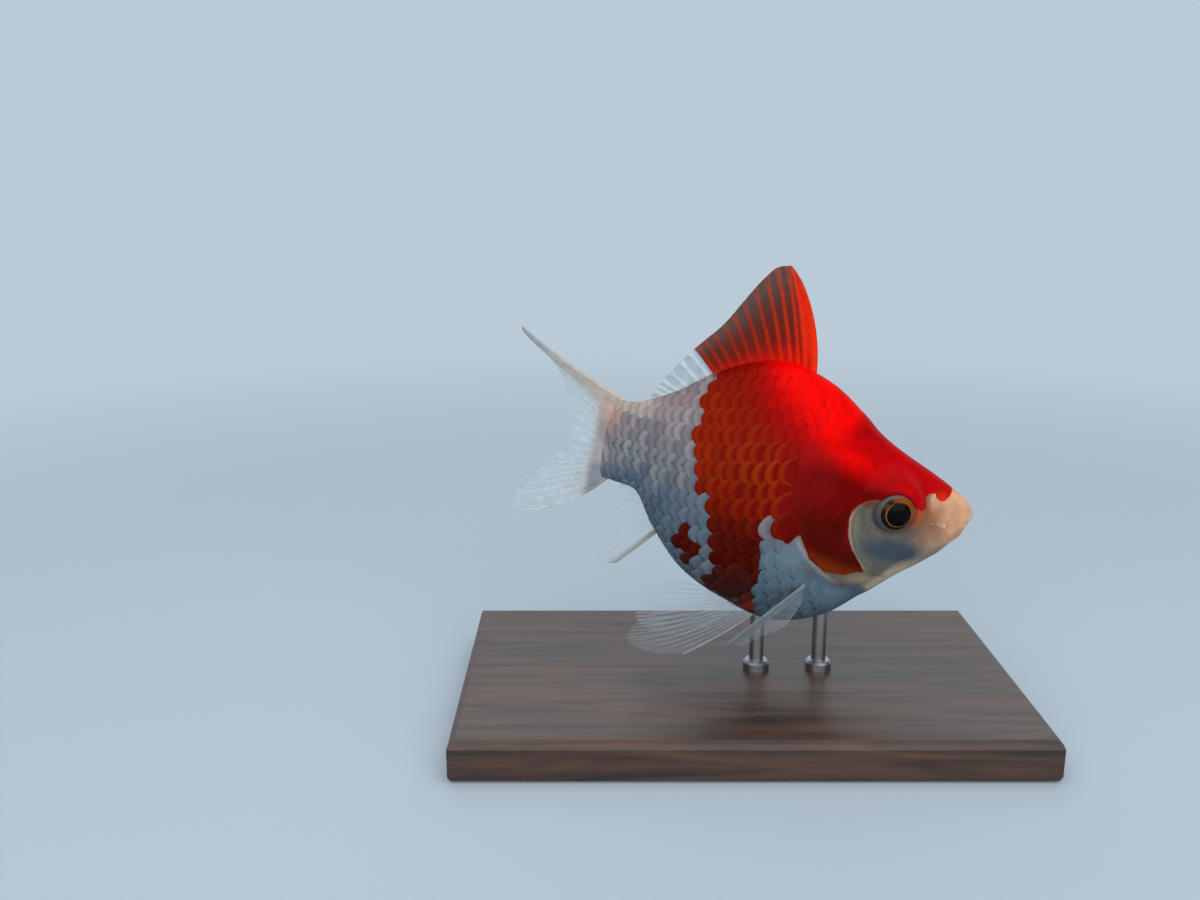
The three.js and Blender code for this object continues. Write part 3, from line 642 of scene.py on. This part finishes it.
# Tinted resin scales: each chip is painted darker at its root, partly painted shade from the chip ahead,
# and lighter in a band along its free edge, partly a painted highlight, with soft clouding, which gives
# the eye a net of scales. Fine rings are cut into its face.
scale_paint = new_material("tinted_resin_scale")
edge = node(scale_paint, "Attribute", attribute_name="edge", out="Fac")
side_way = node(scale_paint, "Attribute", attribute_name="across", out="Fac")
where = node(scale_paint, "TexCoord", out="Object")
cloud = node(scale_paint, "TexNoise", {"Vector": where, "Scale": 1.3 / MM, "Detail": 4, "Roughness": 0.6})
wander = node(scale_paint, "MapRange", {"Value": cloud, 3: -0.35, 4: 0.35})
inward = node(scale_paint, "Math", {0: edge, 1: wander}, operation="ADD")
fade = node(scale_paint, "MapRange", {"Value": inward, 1: 0.45, 2: 1.5}, interpolation_type="SMOOTHSTEP")
plate = node(scale_paint, "Mix", {
    0: fade,
    6: node(scale_paint, "Attribute", attribute_name="rim"),
    7: node(scale_paint, "Attribute", attribute_name="ground")}, data_type="RGBA", out=2)
spot_x = node(scale_paint, "Math", {0: edge, 1: 1.05}, operation="SUBTRACT")
spot = node(scale_paint, "CombineXYZ", {0: spot_x, 1: side_way})
spot = node(scale_paint, "VectorMath", {0: spot}, operation="LENGTH", out="Value")
spot = node(scale_paint, "MapRange", {"Value": spot, 1: 0.1, 2: 0.28, 3: 0.7, 4: 0.0})
on_line = node(scale_paint, "Attribute", attribute_name="line", out="Fac")
spot = node(scale_paint, "Math", {0: spot, 1: on_line}, operation="MULTIPLY")
plate = node(scale_paint, "Mix", {0: spot, 6: plate, 7: linear("#2E2A33")}, data_type="RGBA", out=2)
mottle = node(scale_paint, "MapRange", {"Value": cloud, 1: 0.3, 2: 0.7, 3: 0.88, 4: 1.1})
plate = node(
    scale_paint, "Mix", {0: 1.0, 6: plate, 7: mottle}, data_type="RGBA", blend_type="MULTIPLY", out=2)
# Growth rings are about 0.1 mm apart on the real scale, and are drawn 0.25 mm apart to show.
RING_GAP = 0.25
rings = node(scale_paint, "Math", {0: edge, 1: 2 * math.pi / RING_GAP}, operation="MULTIPLY")
rings = node(scale_paint, "Math", {0: rings}, operation="SINE")
bumps = node(scale_paint, "Bump", {"Height": rings, "Strength": 0.12, "Distance": 0.03 * MM})
scale_shader = node(scale_paint, "BsdfPrincipled", {
    "Base Color": plate, "Roughness": 0.4, "Specular IOR Level": 0.02, "Coat Weight": 0.02,
    "Coat Roughness": 0.15, "Normal": bumps})
node(scale_paint, "OutputMaterial", {"Surface": scale_shader})
add_piece(scale_mesh, scale_paint)

# ---- The eyes ----
# Each eye is a glass ball set in the skin, facing a little forward and down. It is painted in rings: a
# black pupil, a thin gold ring, a brown iris with orange flecks, and a grey outer ring. The gold ring is
# bright only on its lower rear side, partly a painted highlight. The rings end at these angles from the
# axis, in degrees.
PUPIL, GOLD_RING, IRIS, OUTER_RING, BACK = 27.7, 29.8, 41.0, 56.0, 180.0
EYE_FORWARD, EYE_DOWN = math.radians(5.4), math.radians(2.9)

# Painted glass: matt rings under a thin clear skin of glass, which gives the eye one sharp glint.
glass_eye = new_material("painted_glass_eye")
angle = node(glass_eye, "Attribute", attribute_name="angle", out="Fac")
around = node(glass_eye, "Attribute", attribute_name="around", out="Fac")
where = node(glass_eye, "TexCoord", out="Object")
blotch = node(glass_eye, "TexNoise", {"Vector": where, "Scale": 0.7 / MM, "Detail": 4, "Distortion": 0.6})
blotch = node(glass_eye, "Math", {0: blotch, 1: around}, operation="ADD")
iris = node(glass_eye, "ValToRGB", {0: blotch})
for stop, (position, code) in zip(iris.node.color_ramp.elements, ((0.42, "#241106"), (1.0, "#A84E12"))):
    stop.position, stop.color = position, linear(code)
# The gold ring brightens only on its lower rear side: partly a painted highlight.
low_side = node(glass_eye, "MapRange", {"Value": around, 1: 0.1, 2: -0.2})
gold = node(glass_eye, "Mix", {
    0: low_side, 6: linear("#2A1608"), 7: linear("#8E7040")}, data_type="RGBA", out=2)
grey = node(glass_eye, "Mix", {
    0: blotch, 6: linear("#4C555C"), 7: linear("#6E6658")}, data_type="RGBA", out=2)
rings = [
    (PUPIL, linear("#010101")), (GOLD_RING, gold), (IRIS, iris), (OUTER_RING, grey),
    (BACK, linear("#4A3A40"))]
SOFT_EDGE = 0.8
paint = rings[0][1]
for (start, _), (_, colour) in zip(rings, rings[1:]):
    past = node(glass_eye, "MapRange", {"Value": angle, 1: start - SOFT_EDGE, 2: start + SOFT_EDGE})
    paint = node(glass_eye, "Mix", {0: past, 6: paint, 7: colour}, data_type="RGBA", out=2)
eye_shader = node(glass_eye, "BsdfPrincipled", {
    "Base Color": paint, "Roughness": 0.4, "Specular IOR Level": 0.03, "Coat Weight": 0.12,
    "Coat Roughness": 0.02})
node(glass_eye, "OutputMaterial", {"Surface": eye_shader})

for side_name, side_sign in (("right", -1), ("left", 1)):
    ball = bmesh.new()
    bmesh.ops.create_uvsphere(ball, u_segments=72, v_segments=54, radius=1)
    unit = np.array([v.co for v in ball.verts])
    axis = np.array([math.sin(EYE_FORWARD), side_sign * math.cos(EYE_FORWARD), -math.sin(EYE_DOWN)])
    axis /= np.linalg.norm(axis)
    ahead = np.cross(axis, [0, 0, side_sign])
    ahead /= np.linalg.norm(ahead)
    upward = np.cross(ahead, axis)
    world = unit[:, :1] * ahead + unit[:, 1:2] * upward + unit[:, 2:] * axis
    centre = np.array([EYE_X, side_sign * EYE_Y, EYE_Z])
    eye_mesh = mesh_of(ball, f"eye_ball_{side_name}", in_place(centre + EYE_RADIUS * world))
    attribute(eye_mesh, "angle", np.degrees(np.arccos(np.clip(unit[:, 2], -1, 1))))
    ray_way = np.hypot(unit[:, 0], unit[:, 1]) + 1e-6
    attribute(eye_mesh, "around", 0.25 * (world[:, 0] + world[:, 2]) / ray_way)
    add_piece(eye_mesh, glass_eye, [f"eye_{side_name}"])

# ---- The fins ----
# Each fin is a thin web of tinted resin over fine rays that fork towards the margin. The rays stand
# proud of the web on both faces. A fin is one flat closed sheet, bent into the fan of its rays.
RAY_HALF, WEB_HALF = 0.20, 0.055


def fan(rays, root, ahead, across, sway=lambda u, v: 0 * u):
    """A fin's surface. Each ray has its place along the root, its length, and the directions in which
    it starts and ends, in degrees; the ray between them is an arc."""
    rays = np.array(rays, float)
    length, start, end = (curve(rays[:, [0, i]]) for i in (1, 2, 3))
    ahead, across = np.array(ahead, float), np.array(across, float)
    sideways = np.cross(ahead, across)

    def at(u, v):
        first = np.radians(start(u))
        bend_by = np.radians(end(u)) - first
        bend_by = np.where(np.abs(bend_by) < 1e-6, 1e-6, bend_by)
        size = length(u) / bend_by
        along = size * (np.sin(first + bend_by * v) - np.sin(first))
        over = size * (np.cos(first) - np.cos(first + bend_by * v))
        return (root(u) + along[..., None] * ahead + over[..., None] * across
                + np.asarray(sway(u, v))[..., None] * sideways)

    return at


def paired_frame(sign, leading, trailing):
    """Two directions at right angles in a paired fin's plane, given for the left side."""
    ahead = np.array(leading, float) * (1, sign, 1)
    ahead /= np.linalg.norm(ahead)
    across = np.array(trailing, float) * (1, sign, 1)
    across -= across.dot(ahead) * ahead
    return ahead, across / np.linalg.norm(across)


def fork(places, v, first, second):
    """The u of every branch of the rays at v, when they fork at the first and again at the second."""
    places = np.array(places)
    gap = np.gradient(places)
    wide = 0.25 * gap * ramp(v, first, first + 0.5)
    fine = 0.125 * gap * ramp(v, second, second + 0.35)
    return np.concatenate([places + a * wide + b * fine for a in (-1, 1) for b in (-1, 1)])


def fin_piece(name, place, cells, ray_places, ray_width, material, nodes, shade, spine, forks,
              taper=0.45, root_half=lambda place: 0):
    """Makes one fin: ray_width is the rays' half-width in mm at the root, taper the share of it lost at
    the tip, root_half the least half-thickness at each point, and shade adds attributes."""
    sheet = bmesh.new()
    bmesh.ops.create_grid(sheet, x_segments=cells[0], y_segments=cells[1], size=0.5)
    bmesh.ops.solidify(sheet, geom=sheet.faces, thickness=1)
    flat = np.array([v.co for v in sheet.verts])
    u, v = np.clip(flat[:, 0] + 0.5, 0, 1), np.clip(flat[:, 1] + 0.5, 0, 1)
    facing = np.where(flat[:, 2] > flat[:, 2].mean(), 1, -1)
    tiny = 1e-3
    centre = place(u, v)
    over_u = place(np.minimum(u + tiny, 1), v) - place(np.maximum(u - tiny, 0), v)
    over_v = place(u, np.minimum(v + tiny, 1)) - place(u, np.maximum(v - tiny, 0))
    normal = np.cross(over_u, over_v)
    normal /= np.linalg.norm(normal, axis=1)[:, None]
    mm_per_u = np.linalg.norm(over_u, axis=1) / (np.minimum(u + tiny, 1) - np.maximum(u - tiny, 0))
    ray = np.zeros(len(u))
    for level in np.unique(v):
        here = np.isclose(v, level)
        gaps = np.abs(u[here][:, None] - fork(ray_places, level, *forks)[None]) * mm_per_u[here][:, None]
        nearest = np.partition(gaps, 1, axis=1)[:, :2]
        width = ray_width * (1 - taper * level)
        # Where rays crowd together they run into one even surface.
        crowded = 1 - ramp(nearest.sum(1), 1.7 * width, 3.2 * width)
        ray[here] = np.exp(-((nearest[:, 0] / width) ** 2)) * (1 - crowded) + 0.5 * crowded
    ray = np.maximum(ray, spine(u, v, mm_per_u))
    margin = ramp(np.minimum(u, 1 - u) * mm_per_u, 0, 0.35) * ramp(1 - v, 0, 0.03)
    half = (WEB_HALF + (RAY_HALF - WEB_HALF) * ray * (1 - 0.5 * v)) * (0.35 + 0.65 * margin)
    half = np.maximum(half, root_half(centre))
    mesh = mesh_of(sheet, name, in_place(centre + normal * (facing * half)[:, None]))
    attribute(mesh, "ray", ray)
    attribute(mesh, "out", v)
    for label, values in shade(u, v, centre).items():
        attribute(mesh, label, values)
    add_piece(mesh, material, nodes)


def fin_material(name, web_alpha, tip_alpha, ray_alpha):
    """Tinted resin web and rays. The web lets the light through, most of all at the margin."""
    made = new_material(name)
    is_ray = node(made, "Attribute", attribute_name="ray", out="Fac")
    out = node(made, "Attribute", attribute_name="out", out="Fac")
    tinted = node(made, "Attribute", attribute_name="tint")
    strong = node(made, "MapRange", {"Value": is_ray, 1: 0.1, 2: 0.9}, interpolation_type="SMOOTHSTEP")
    where = node(made, "TexCoord", out="Object")
    cloud = node(made, "TexNoise", {"Vector": where, "Scale": 0.8 / MM, "Detail": 3})
    cloud = node(made, "MapRange", {"Value": cloud, 1: 0.3, 2: 0.7, 3: 0.88, 4: 1.1})
    ray_tinted = node(made, "Attribute", attribute_name="ray_tint")
    colour = node(made, "Mix", {0: strong, 6: tinted, 7: ray_tinted}, data_type="RGBA", out=2)
    colour = node(
        made, "Mix", {0: 1.0, 6: colour, 7: cloud}, data_type="RGBA", blend_type="MULTIPLY", out=2)
    thin = node(made, "MapRange", {"Value": out, 1: 0.1, 2: 0.95, 3: web_alpha, 4: tip_alpha})
    solid = node(made, "MapRange", {"Value": strong, 3: thin, 4: ray_alpha})
    body_share = node(made, "Attribute", attribute_name="solid", out="Fac")
    solid = node(made, "Math", {0: solid, 1: body_share}, operation="MAXIMUM")
    shader = node(made, "BsdfPrincipled", {
        "Base Color": colour, "Alpha": solid, "Roughness": 0.45, "Specular IOR Level": 0.05})
    node(made, "OutputMaterial", {"Surface": shader})
    return made


red_web = fin_material("tinted_resin_red_fin", 0.98, 0.78, 0.98)
milky_web = fin_material("tinted_resin_milky_fin", 0.3, 0.16, 0.85)
clear_web = fin_material("tinted_resin_clear_fin", 0.05, 0.03, 0.32)

# The single fins stand in the midplane, in the directions of the tail and the back.
MIDPLANE = ((-1, 0, 0), (0, 0, 1))


# The dorsal fin: red-orange rays in a brownish web in front, and clear with white rays behind.
def dorsal_root(u):
    """The root of the dorsal fin, sunk in the back."""
    x = 1.7 - 24.1 * u
    return np.stack([x, 0 * u, back_line(x) - 1.6 + 0.6 * u], -1)


dorsal = fan(
    [(0, 16.9, 83, 52), (0.06, 18.4, 79, 56), (0.126, 17.75, 75, 64), (0.19, 17.0, 72, 63.5),
     (0.25, 15.3, 69, 62), (0.383, 11.3, 62, 57), (0.51, 8.2, 56, 50), (0.62, 6.6, 47, 42),
     (0.78, 4.9, 40, 34), (0.89, 3.7, 24, 18), (1, 2.2, 4, 2)], dorsal_root, *MIDPLANE)
DORSAL_RAYS = [0.035, 0.085, 0.135, 0.19, 0.25, 0.315, 0.383, 0.45, 0.51, 0.57, 0.62, 0.67, 0.72, 0.78,
               0.84, 0.89, 0.925, 0.96]


def dorsal_spine(u, v, mm):
    """The thick spines along the leading edge; the first ends part of the way up."""
    first = ramp(0.5 - u * mm, -0.3, 0.2) * ramp(0.45 - v, 0, 0.03)
    second = ramp(1.05 - u * mm, -0.3, 0.3)
    return np.maximum(first, second)


def dorsal_shade(u, v, place):
    """The dorsal fin's colours: red in front of its last rays, brownest towards the margin."""
    front = ramp(0.69 - u, -0.006, 0.006)
    web = glazed(
        spread("#B4C2CE", u),
        ("#86120A", front),
        ("#5C200C", front * ramp(v, 0.15, 0.6) * ramp(u, 0.06, 0.2) * 0.9),
        ("#5A4438", front * ramp(v, 0.55, 0.98) * ramp(u, 0.08, 0.2) * 0.85),
        ("#E02406", front * ramp(0.11 - u, -0.01, 0.02)),
        ("#CC0A04", front * ramp(0.2 - v, -0.1, 0.14)))
    rays = glazed(
        spread("#E4EAEC", u),
        ("#C42804", front),
        ("#F23204", front * ramp(0.3 - u, -0.1, 0.15)),
        ("#9C5A40", front * ramp(v, 0.75, 1.0) * 0.8))
    return {"tint": web, "ray_tint": rays, "solid": front * ramp(0.11 - u, -0.01, 0.03) * 0.97}


fin_piece("dorsal_fin_web", dorsal, (220, 48), DORSAL_RAYS, 0.32, red_web, ["dorsal_fin"],
          dorsal_shade, dorsal_spine, (0.7, 2), taper=0.4)

# The tail fin: single and forked, ivory-white rays in a clear web, milky where it leaves the stem.
tail = fan(
    [(0, 23.2, 15.2, 21.2), (0.05, 23, 16, 21.3), (0.1, 21.4, 16.4, 22.1), (0.2, 17, 21.8, 24.5),
     (0.3, 13.2, 27, 24), (0.4, 10.1, 25, 22), (0.5, 7.5, 16, 14), (0.6, 6.3, 0, -3), (0.7, 8.3, -14, -12),
     (0.8, 12.4, -22, -19), (0.9, 17.6, -34, -21), (0.96, 20, -43, -20), (1, 19.4, -53, -17)],
    lambda u: np.stack([-28.6 - 2 * np.sin(math.pi * u), 0 * u, 6.9 - 14.2 * u], -1), *MIDPLANE,
    sway=lambda u, v: 1.2 * v * v * np.sin(math.pi * np.minimum(u / 0.6, 1)))
TAIL_RAYS = np.interp(np.linspace(0, 1, 23), [0, 0.3, 0.7, 1], [0.012, 0.22, 0.76, 0.988])


def tail_shade(u, v, place):
    """The tail's colours: an ivory ribbon along its upper edge, and the stem's own colour at the root."""
    ribbon = ramp(0.17 - u, -0.08, 0.1)
    milky = np.maximum(0.8 * ramp(0.3 - v, -0.25, 0.2), 0.9 * ribbon)
    inner = ramp(0.75 - v, -0.2, 0.3)
    web = glazed(
        spread("#C3D2DA", u),
        ("#C9B9A6", ramp(0.35 - v, -0.2, 0.3) * 0.8),
        ("#A8A8A4", ribbon * 0.7),
        ("#AC9884", ribbon * inner * 0.7))
    rays = glazed(
        spread("#D6E0E4", u),
        ("#B89C84", ramp(0.3 - u, -0.1, 0.25) * inner * 0.6),
        ("#D2C4B2", ramp(0.3 - v, -0.2, 0.3)),
        ("#AEB2B0", ribbon * ramp(v, 0.5, 0.8) * 0.85))
    root = ramp(place[:, 0], STEM_END_X - 1.7, STEM_END_X + 0.2)[:, None]
    stem = glazed(pale(np.maximum(place[:, 0], -30.2), place[:, 2]), ("#A6A8A8", 0 * u + 0.35))
    web = web + (stem - web) * root
    rays = rays + (stem * 1.1 - rays) * root * 0.75
    return {"tint": web, "ray_tint": rays, "solid": np.maximum(milky, 0.97 * root[:, 0])}


def tail_spines(u, v, mm):
    """The thick outermost ray of each lobe."""
    return np.maximum(ramp(0.5 - u * mm, -0.2, 0.25), ramp(0.5 - (1 - u) * mm, -0.2, 0.25))


def tail_root_half(place):
    """The tail's half-thickness where it grows out of the stem."""
    tall = ramp(6.6 - np.abs(place[:, 2] + 0.3), 0, 1.8)
    return 0.45 * ramp(place[:, 0], STEM_END_X - 2.6, STEM_END_X + 0.6) * tall


fin_piece("tail_fin_web", tail, (460, 48), TAIL_RAYS, 0.4, milky_web, ["tail_fin"],
          tail_shade, tail_spines, (0.62, 2), root_half=tail_root_half)

# The anal fin: almost clear, with one thick greyish spine along its leading edge.
anal = fan(
    [(0, 10.2, -54, -50), (0.2, 12.8, -54, -46), (0.42, 12.4, -46, -36), (0.7, 8.6, -32, -22),
     (1, 4, -8, 0)],
    lambda u: np.stack([-17.6 - 5 * u, 0 * u, -13.6 + 6.2 * u], -1), *MIDPLANE,
    sway=lambda u, v: 0.8 * v * v * np.sin(math.pi * u))


def clear_shade(u, v, place):
    """The colours of a clear fin, milky only at its root."""
    return {"tint": spread("#AFC2CF", u), "ray_tint": spread("#D6E0E5", u),
            "solid": 0.4 * ramp(0.1 - v, -0.06, 0.08)}


def anal_shade(u, v, place):
    """The anal fin's colours: clear, with a greyish leading spine."""
    made = clear_shade(u, v, place)
    made["ray_tint"] = glazed(made["ray_tint"], ("#A9AAA4", ramp(0.16 - u, -0.02, 0.06)))
    made["solid"] = np.maximum(made["solid"], 0.9 * ramp(0.1 - u, -0.02, 0.02))
    return made


fin_piece("anal_fin_web", anal, (150, 44), np.linspace(0.03, 0.97, 11), 0.24, clear_web,
          ["anal_fin"], anal_shade, lambda u, v, mm: ramp(0.95 - u * mm, -0.15, 0.2), (0.5, 2))


# The paired fins: the pelvic pair trails under the belly, and the pectoral pair hangs bunched from
# behind the gill covers, so that its leading rays make one greyish band.
def pectoral_shade(u, v, place):
    """The pectoral fin's colours: clear, with the greyish band of its leading rays."""
    band = ramp(0.3 - u, -0.05, 0.06)
    made = clear_shade(u, v, place)
    for label in ("ray_tint", "tint"):
        made[label] = glazed(made[label], ("#8E969A", band))
    made["solid"] = np.maximum(made["solid"], 0.94 * band * (1 - 0.4 * v))
    return made


for side_name, sign in (("right", -1), ("left", 1)):
    pelvic = fan(
        [(0, 14.5, -50, -33), (0.2, 18.5, -43, -27), (0.5, 20.5, -31, -19), (0.8, 16.5, -16, -8),
         (1, 11, -4, 2)],
        lambda u: np.stack([1.4 - 4 * u, sign * (3.4 - 1.2 * u), -23.5 + 0.8 * u], -1),
        *paired_frame(sign, (-0.9, 0.42, -0.1), (-0.1, 0.45, 0.85)),
        sway=lambda u, v: -sign * 1.4 * v * v * np.sin(math.pi * u))
    fin_piece(f"pelvic_fin_web_{side_name}", pelvic, (200, 50), np.linspace(0.03, 0.97, 11), 0.24,
              clear_web, [f"pelvic_fin_{side_name}"], clear_shade,
              lambda u, v, mm: ramp(0.45 - u * mm, -0.2, 0.25), (0.5, 2))
    pectoral = fan(
        [(0, 19.8, 0, -2), (0.33, 16.8, 10, 10), (0.66, 12.4, 18, 19), (1, 8.6, 31, 33)],
        lambda u: np.stack([7.6 + 0.7 * u, sign * (10.3 - 0.9 * u), -12.7 - 1.7 * u], -1),
        *paired_frame(sign, (-0.67, 0.47, -0.58), (-0.35, 0.13, -0.92)),
        sway=lambda u, v: sign * 0.6 * v * v * np.sin(math.pi * u))
    fin_piece(f"pectoral_fin_web_{side_name}", pectoral, (150, 50), np.linspace(0.02, 0.97, 12), 0.22,
              clear_web, [f"pectoral_fin_{side_name}"], pectoral_shade,
              lambda u, v, mm: ramp(1.1 - u * mm, -0.3, 0.3), (0.5, 2))

# ---- The stand ----
# A block of dark satin-varnished walnut with eased edges, and two turned stainless rods that carry
# the belly. Each rod stands in a small collar.

# Walnut under satin varnish: brown figure streaks about 24 mm long and 2.4 mm wide, and fine pores
# along the grain, which give the eye planed wood with a soft sheen.
walnut = new_material("satin_walnut")
where = node(walnut, "TexCoord", out="Object")
grain_way = node(walnut, "Mapping", {"Vector": where, "Scale": (6, 60, 60)})
figure = node(walnut, "TexNoise", {"Vector": grain_way, "Scale": 7, "Detail": 6, "Distortion": 0.5})
wood = node(walnut, "ValToRGB", {0: figure})
wood_tones = ((0.35, "#2B1A11"), (0.68, "#5A3A26"))
for stop, (position, code) in zip(wood.node.color_ramp.elements, wood_tones):
    stop.position, stop.color = position, linear(code)
pore_way = node(walnut, "Mapping", {"Vector": where, "Scale": (60, 1800, 1800)})
pores = node(walnut, "TexNoise", {"Vector": pore_way, "Scale": 2, "Detail": 2})
bumps = node(walnut, "Bump", {"Height": pores, "Strength": 0.15, "Distance": 0.1 * MM})
wood_shader = node(walnut, "BsdfPrincipled", {
    "Base Color": wood, "Roughness": 0.42, "IOR": 1.5, "Coat Weight": 0.25,
    "Coat Roughness": 0.25, "Normal": bumps})
node(walnut, "OutputMaterial", {"Surface": wood_shader})
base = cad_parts["stand_base"]
base.data.materials.clear()
base.data.materials.append(walnut)

# Turned stainless steel: fine rings round the rod, 0.2 mm apart, which blur its highlights lengthwise.
steel = new_material("turned_stainless_steel")
where = node(steel, "TexCoord", out="Object")
turning = node(steel, "Mapping", {"Vector": where, "Scale": (200, 200, 5000)})
lathe = node(steel, "TexNoise", {"Vector": turning, "Scale": 1, "Detail": 2})
bright = node(steel, "MapRange", {"Value": lathe, 3: 0.3, 4: 0.46})
steel_shader = node(steel, "BsdfPrincipled", {
    "Base Color": linear("#A4A6A8"), "Metallic": 1.0, "Roughness": bright})
node(steel, "OutputMaterial", {"Surface": steel_shader})

ROD_RADIUS, COLLAR_RADIUS, COLLAR_HEIGHT, COLLAR_CHAMFER = 1.25, 2.3, 1.6, 0.4
ROD_CHAMFER, ROD_FILLET, ROD_RISE = 0.2, 0.1, 0.55
base_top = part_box("stand_base")[1].z / MM
collar_top = base_top + COLLAR_HEIGHT
for rod in ("stand_rod_front", "stand_rod_rear"):
    low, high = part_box(rod)
    middle = (low + high) / 2 / MM
    top = high.z / MM + ROD_RISE
    bm = bmesh.new()
    profile = [
        (0, base_top), (COLLAR_RADIUS, base_top), (COLLAR_RADIUS, collar_top - COLLAR_CHAMFER),
        (COLLAR_RADIUS - COLLAR_CHAMFER, collar_top), (ROD_RADIUS + ROD_FILLET, collar_top),
        (ROD_RADIUS, collar_top + ROD_FILLET), (ROD_RADIUS, top - ROD_CHAMFER),
        (ROD_RADIUS - ROD_CHAMFER, top), (0, top)]
    line = [bm.verts.new((middle.x + r, middle.y, h)) for r, h in profile]
    edges = [bm.edges.new(pair) for pair in zip(line, line[1:])]
    bmesh.ops.spin(bm, geom=line + edges, cent=(middle.x, middle.y, 0), axis=(0, 0, 1),
                   angle=2 * math.pi, steps=48, use_merge=True)
    bmesh.ops.remove_doubles(bm, verts=bm.verts, dist=1e-4)
    bmesh.ops.scale(bm, vec=(MM, MM, MM), verts=bm.verts)
    rod_mesh = mesh_of(bm, rod + "_turned")
    add_piece(rod_mesh, steel, [rod])
    rod_mesh.set_sharp_from_angle(angle=math.radians(35))

# ---- The floor, the lights and the camera ----
# A pale blue-grey sweep of paper under plain soft light, and a camera a little above the fish, which
# looks down by 14 degrees.
SWEEP_COLOUR, BACKDROP_COLOUR = "#BFCEDA", "#BACAD6"

# Cartridge paper: matt, with faint fibres about 1 mm across. Far from the model it shows its own plain
# colour, so that it stays pale without more lamps.
paper = new_material("sweep_paper")
where = node(paper, "TexCoord", out="Object")
fibre = node(paper, "TexNoise", {"Vector": where, "Scale": 0.9 / MM, "Detail": 3})
bumps = node(paper, "Bump", {"Height": fibre, "Strength": 0.05, "Distance": 0.1 * MM})
paper_shader = node(paper, "BsdfPrincipled", {
    "Base Color": linear(SWEEP_COLOUR), "Roughness": 0.9, "Specular IOR Level": 0.1,
    "Normal": bumps})
glow_shader = node(paper, "Emission", {"Color": linear(BACKDROP_COLOUR), "Strength": 1.0})
away = node(paper, "VectorMath", {0: where}, operation="LENGTH", out="Value")
far = node(paper, "MapRange", {"Value": away, 1: 0.14, 2: 0.42}, interpolation_type="SMOOTHSTEP")
straight = node(paper, "LightPath", out="Is Camera Ray")
mirrored = node(paper, "LightPath", out="Is Glossy Ray")
seen_ray = node(paper, "Math", {0: straight, 1: mirrored}, operation="MAXIMUM")
far = node(paper, "Math", {0: far, 1: seen_ray}, operation="MULTIPLY")
sheet = node(paper, "MixShader", {0: far, 1: paper_shader, 2: glow_shader})
node(paper, "OutputMaterial", {"Surface": sheet})
SWEEP_HALF, SWEEP_FRONT, SWEEP_BACK, SWEEP_CURVE, SWEEP_TOP = 1.6, -1.6, 0.55, 0.35, 1.4
bm = bmesh.new()
outline = [(SWEEP_FRONT, 0.0), (SWEEP_BACK, 0.0)]
outline += [(SWEEP_BACK + SWEEP_CURVE * math.sin(a), SWEEP_CURVE - SWEEP_CURVE * math.cos(a))
            for a in np.linspace(0, math.pi / 2, 17)[1:]]
outline += [(SWEEP_BACK + SWEEP_CURVE, SWEEP_TOP)]
line = [bm.verts.new((-SWEEP_HALF, y, z)) for y, z in outline]
edges = [bm.edges.new(pair) for pair in zip(line, line[1:])]
swept = bmesh.ops.extrude_edge_only(bm, edges=edges)["geom"]
far_side = [v for v in swept if isinstance(v, bmesh.types.BMVert)]
bmesh.ops.translate(bm, vec=(2 * SWEEP_HALF, 0, 0), verts=far_side)
sweep_mesh = bpy.data.meshes.new("sweep")
bm.to_mesh(sweep_mesh)
bm.free()
sweep_mesh.shade_smooth()
sweep_mesh.materials.append(paper)
sweep = bpy.data.objects.new("sweep", sweep_mesh)
bpy.context.scene.collection.objects.link(sweep)

# Three soft lamps: above, in front and behind, each turned to the middle of the fish.
LIT_POINT = (0, 0, 0.04)
for name, place, size, watts in (
        ("key_light", (0.0, -0.12, 0.6), (1.1, 0.7), 2.9),
        ("fill_light", (0.0, -0.6, 0.25), (1.5, 0.48), 3.8),
        ("back_light", (0.0, 0.42, 0.42), (0.7, 0.4), 0.7)):
    light = bpy.data.lights.new(name, "AREA")
    light.shape, light.size, light.size_y, light.energy = "RECTANGLE", *size, watts
    lamp = bpy.data.objects.new(name, light)
    lamp.location = place
    beam = np.array(LIT_POINT) - place
    tilt, heading = math.atan2(math.hypot(beam[0], beam[1]), -beam[2]), math.atan2(beam[1], beam[0])
    lamp.rotation_euler = (tilt, 0, heading - math.pi / 2)
    bpy.context.scene.collection.objects.link(lamp)

# The room beyond the sweep is seen in the backdrop's colour, and lights the model only faintly.
sky = bpy.data.worlds.new("studio")
sky.use_nodes = True
sky.node_tree.nodes.clear()
straight = node(sky, "LightPath", out="Is Camera Ray")
through = node(sky, "LightPath", out="Is Transmission Ray")
seen_ray = node(sky, "Math", {0: straight, 1: through}, operation="MAXIMUM")
strength = node(sky, "MapRange", {"Value": seen_ray, 3: 0.25, 4: 1.0})
room = node(sky, "Background", {"Color": linear(BACKDROP_COLOUR), "Strength": strength})
node(sky, "OutputWorld", {"Surface": room})
bpy.context.scene.world = sky
bpy.context.scene.view_settings.view_transform = "Standard"

LOOK_DOWN = 14
camera_data = bpy.data.cameras.new("camera")
camera_data.sensor_width, camera_data.lens = 36, 35.2
camera = bpy.data.objects.new("camera", camera_data)
camera.location = (-0.0241644, -0.1929464, 0.0948474)
camera.rotation_euler = (math.radians(90 - LOOK_DOWN), 0, 0)
camera_data.clip_start = 0.005
bpy.context.scene.collection.objects.link(camera)
bpy.context.scene.camera = camera
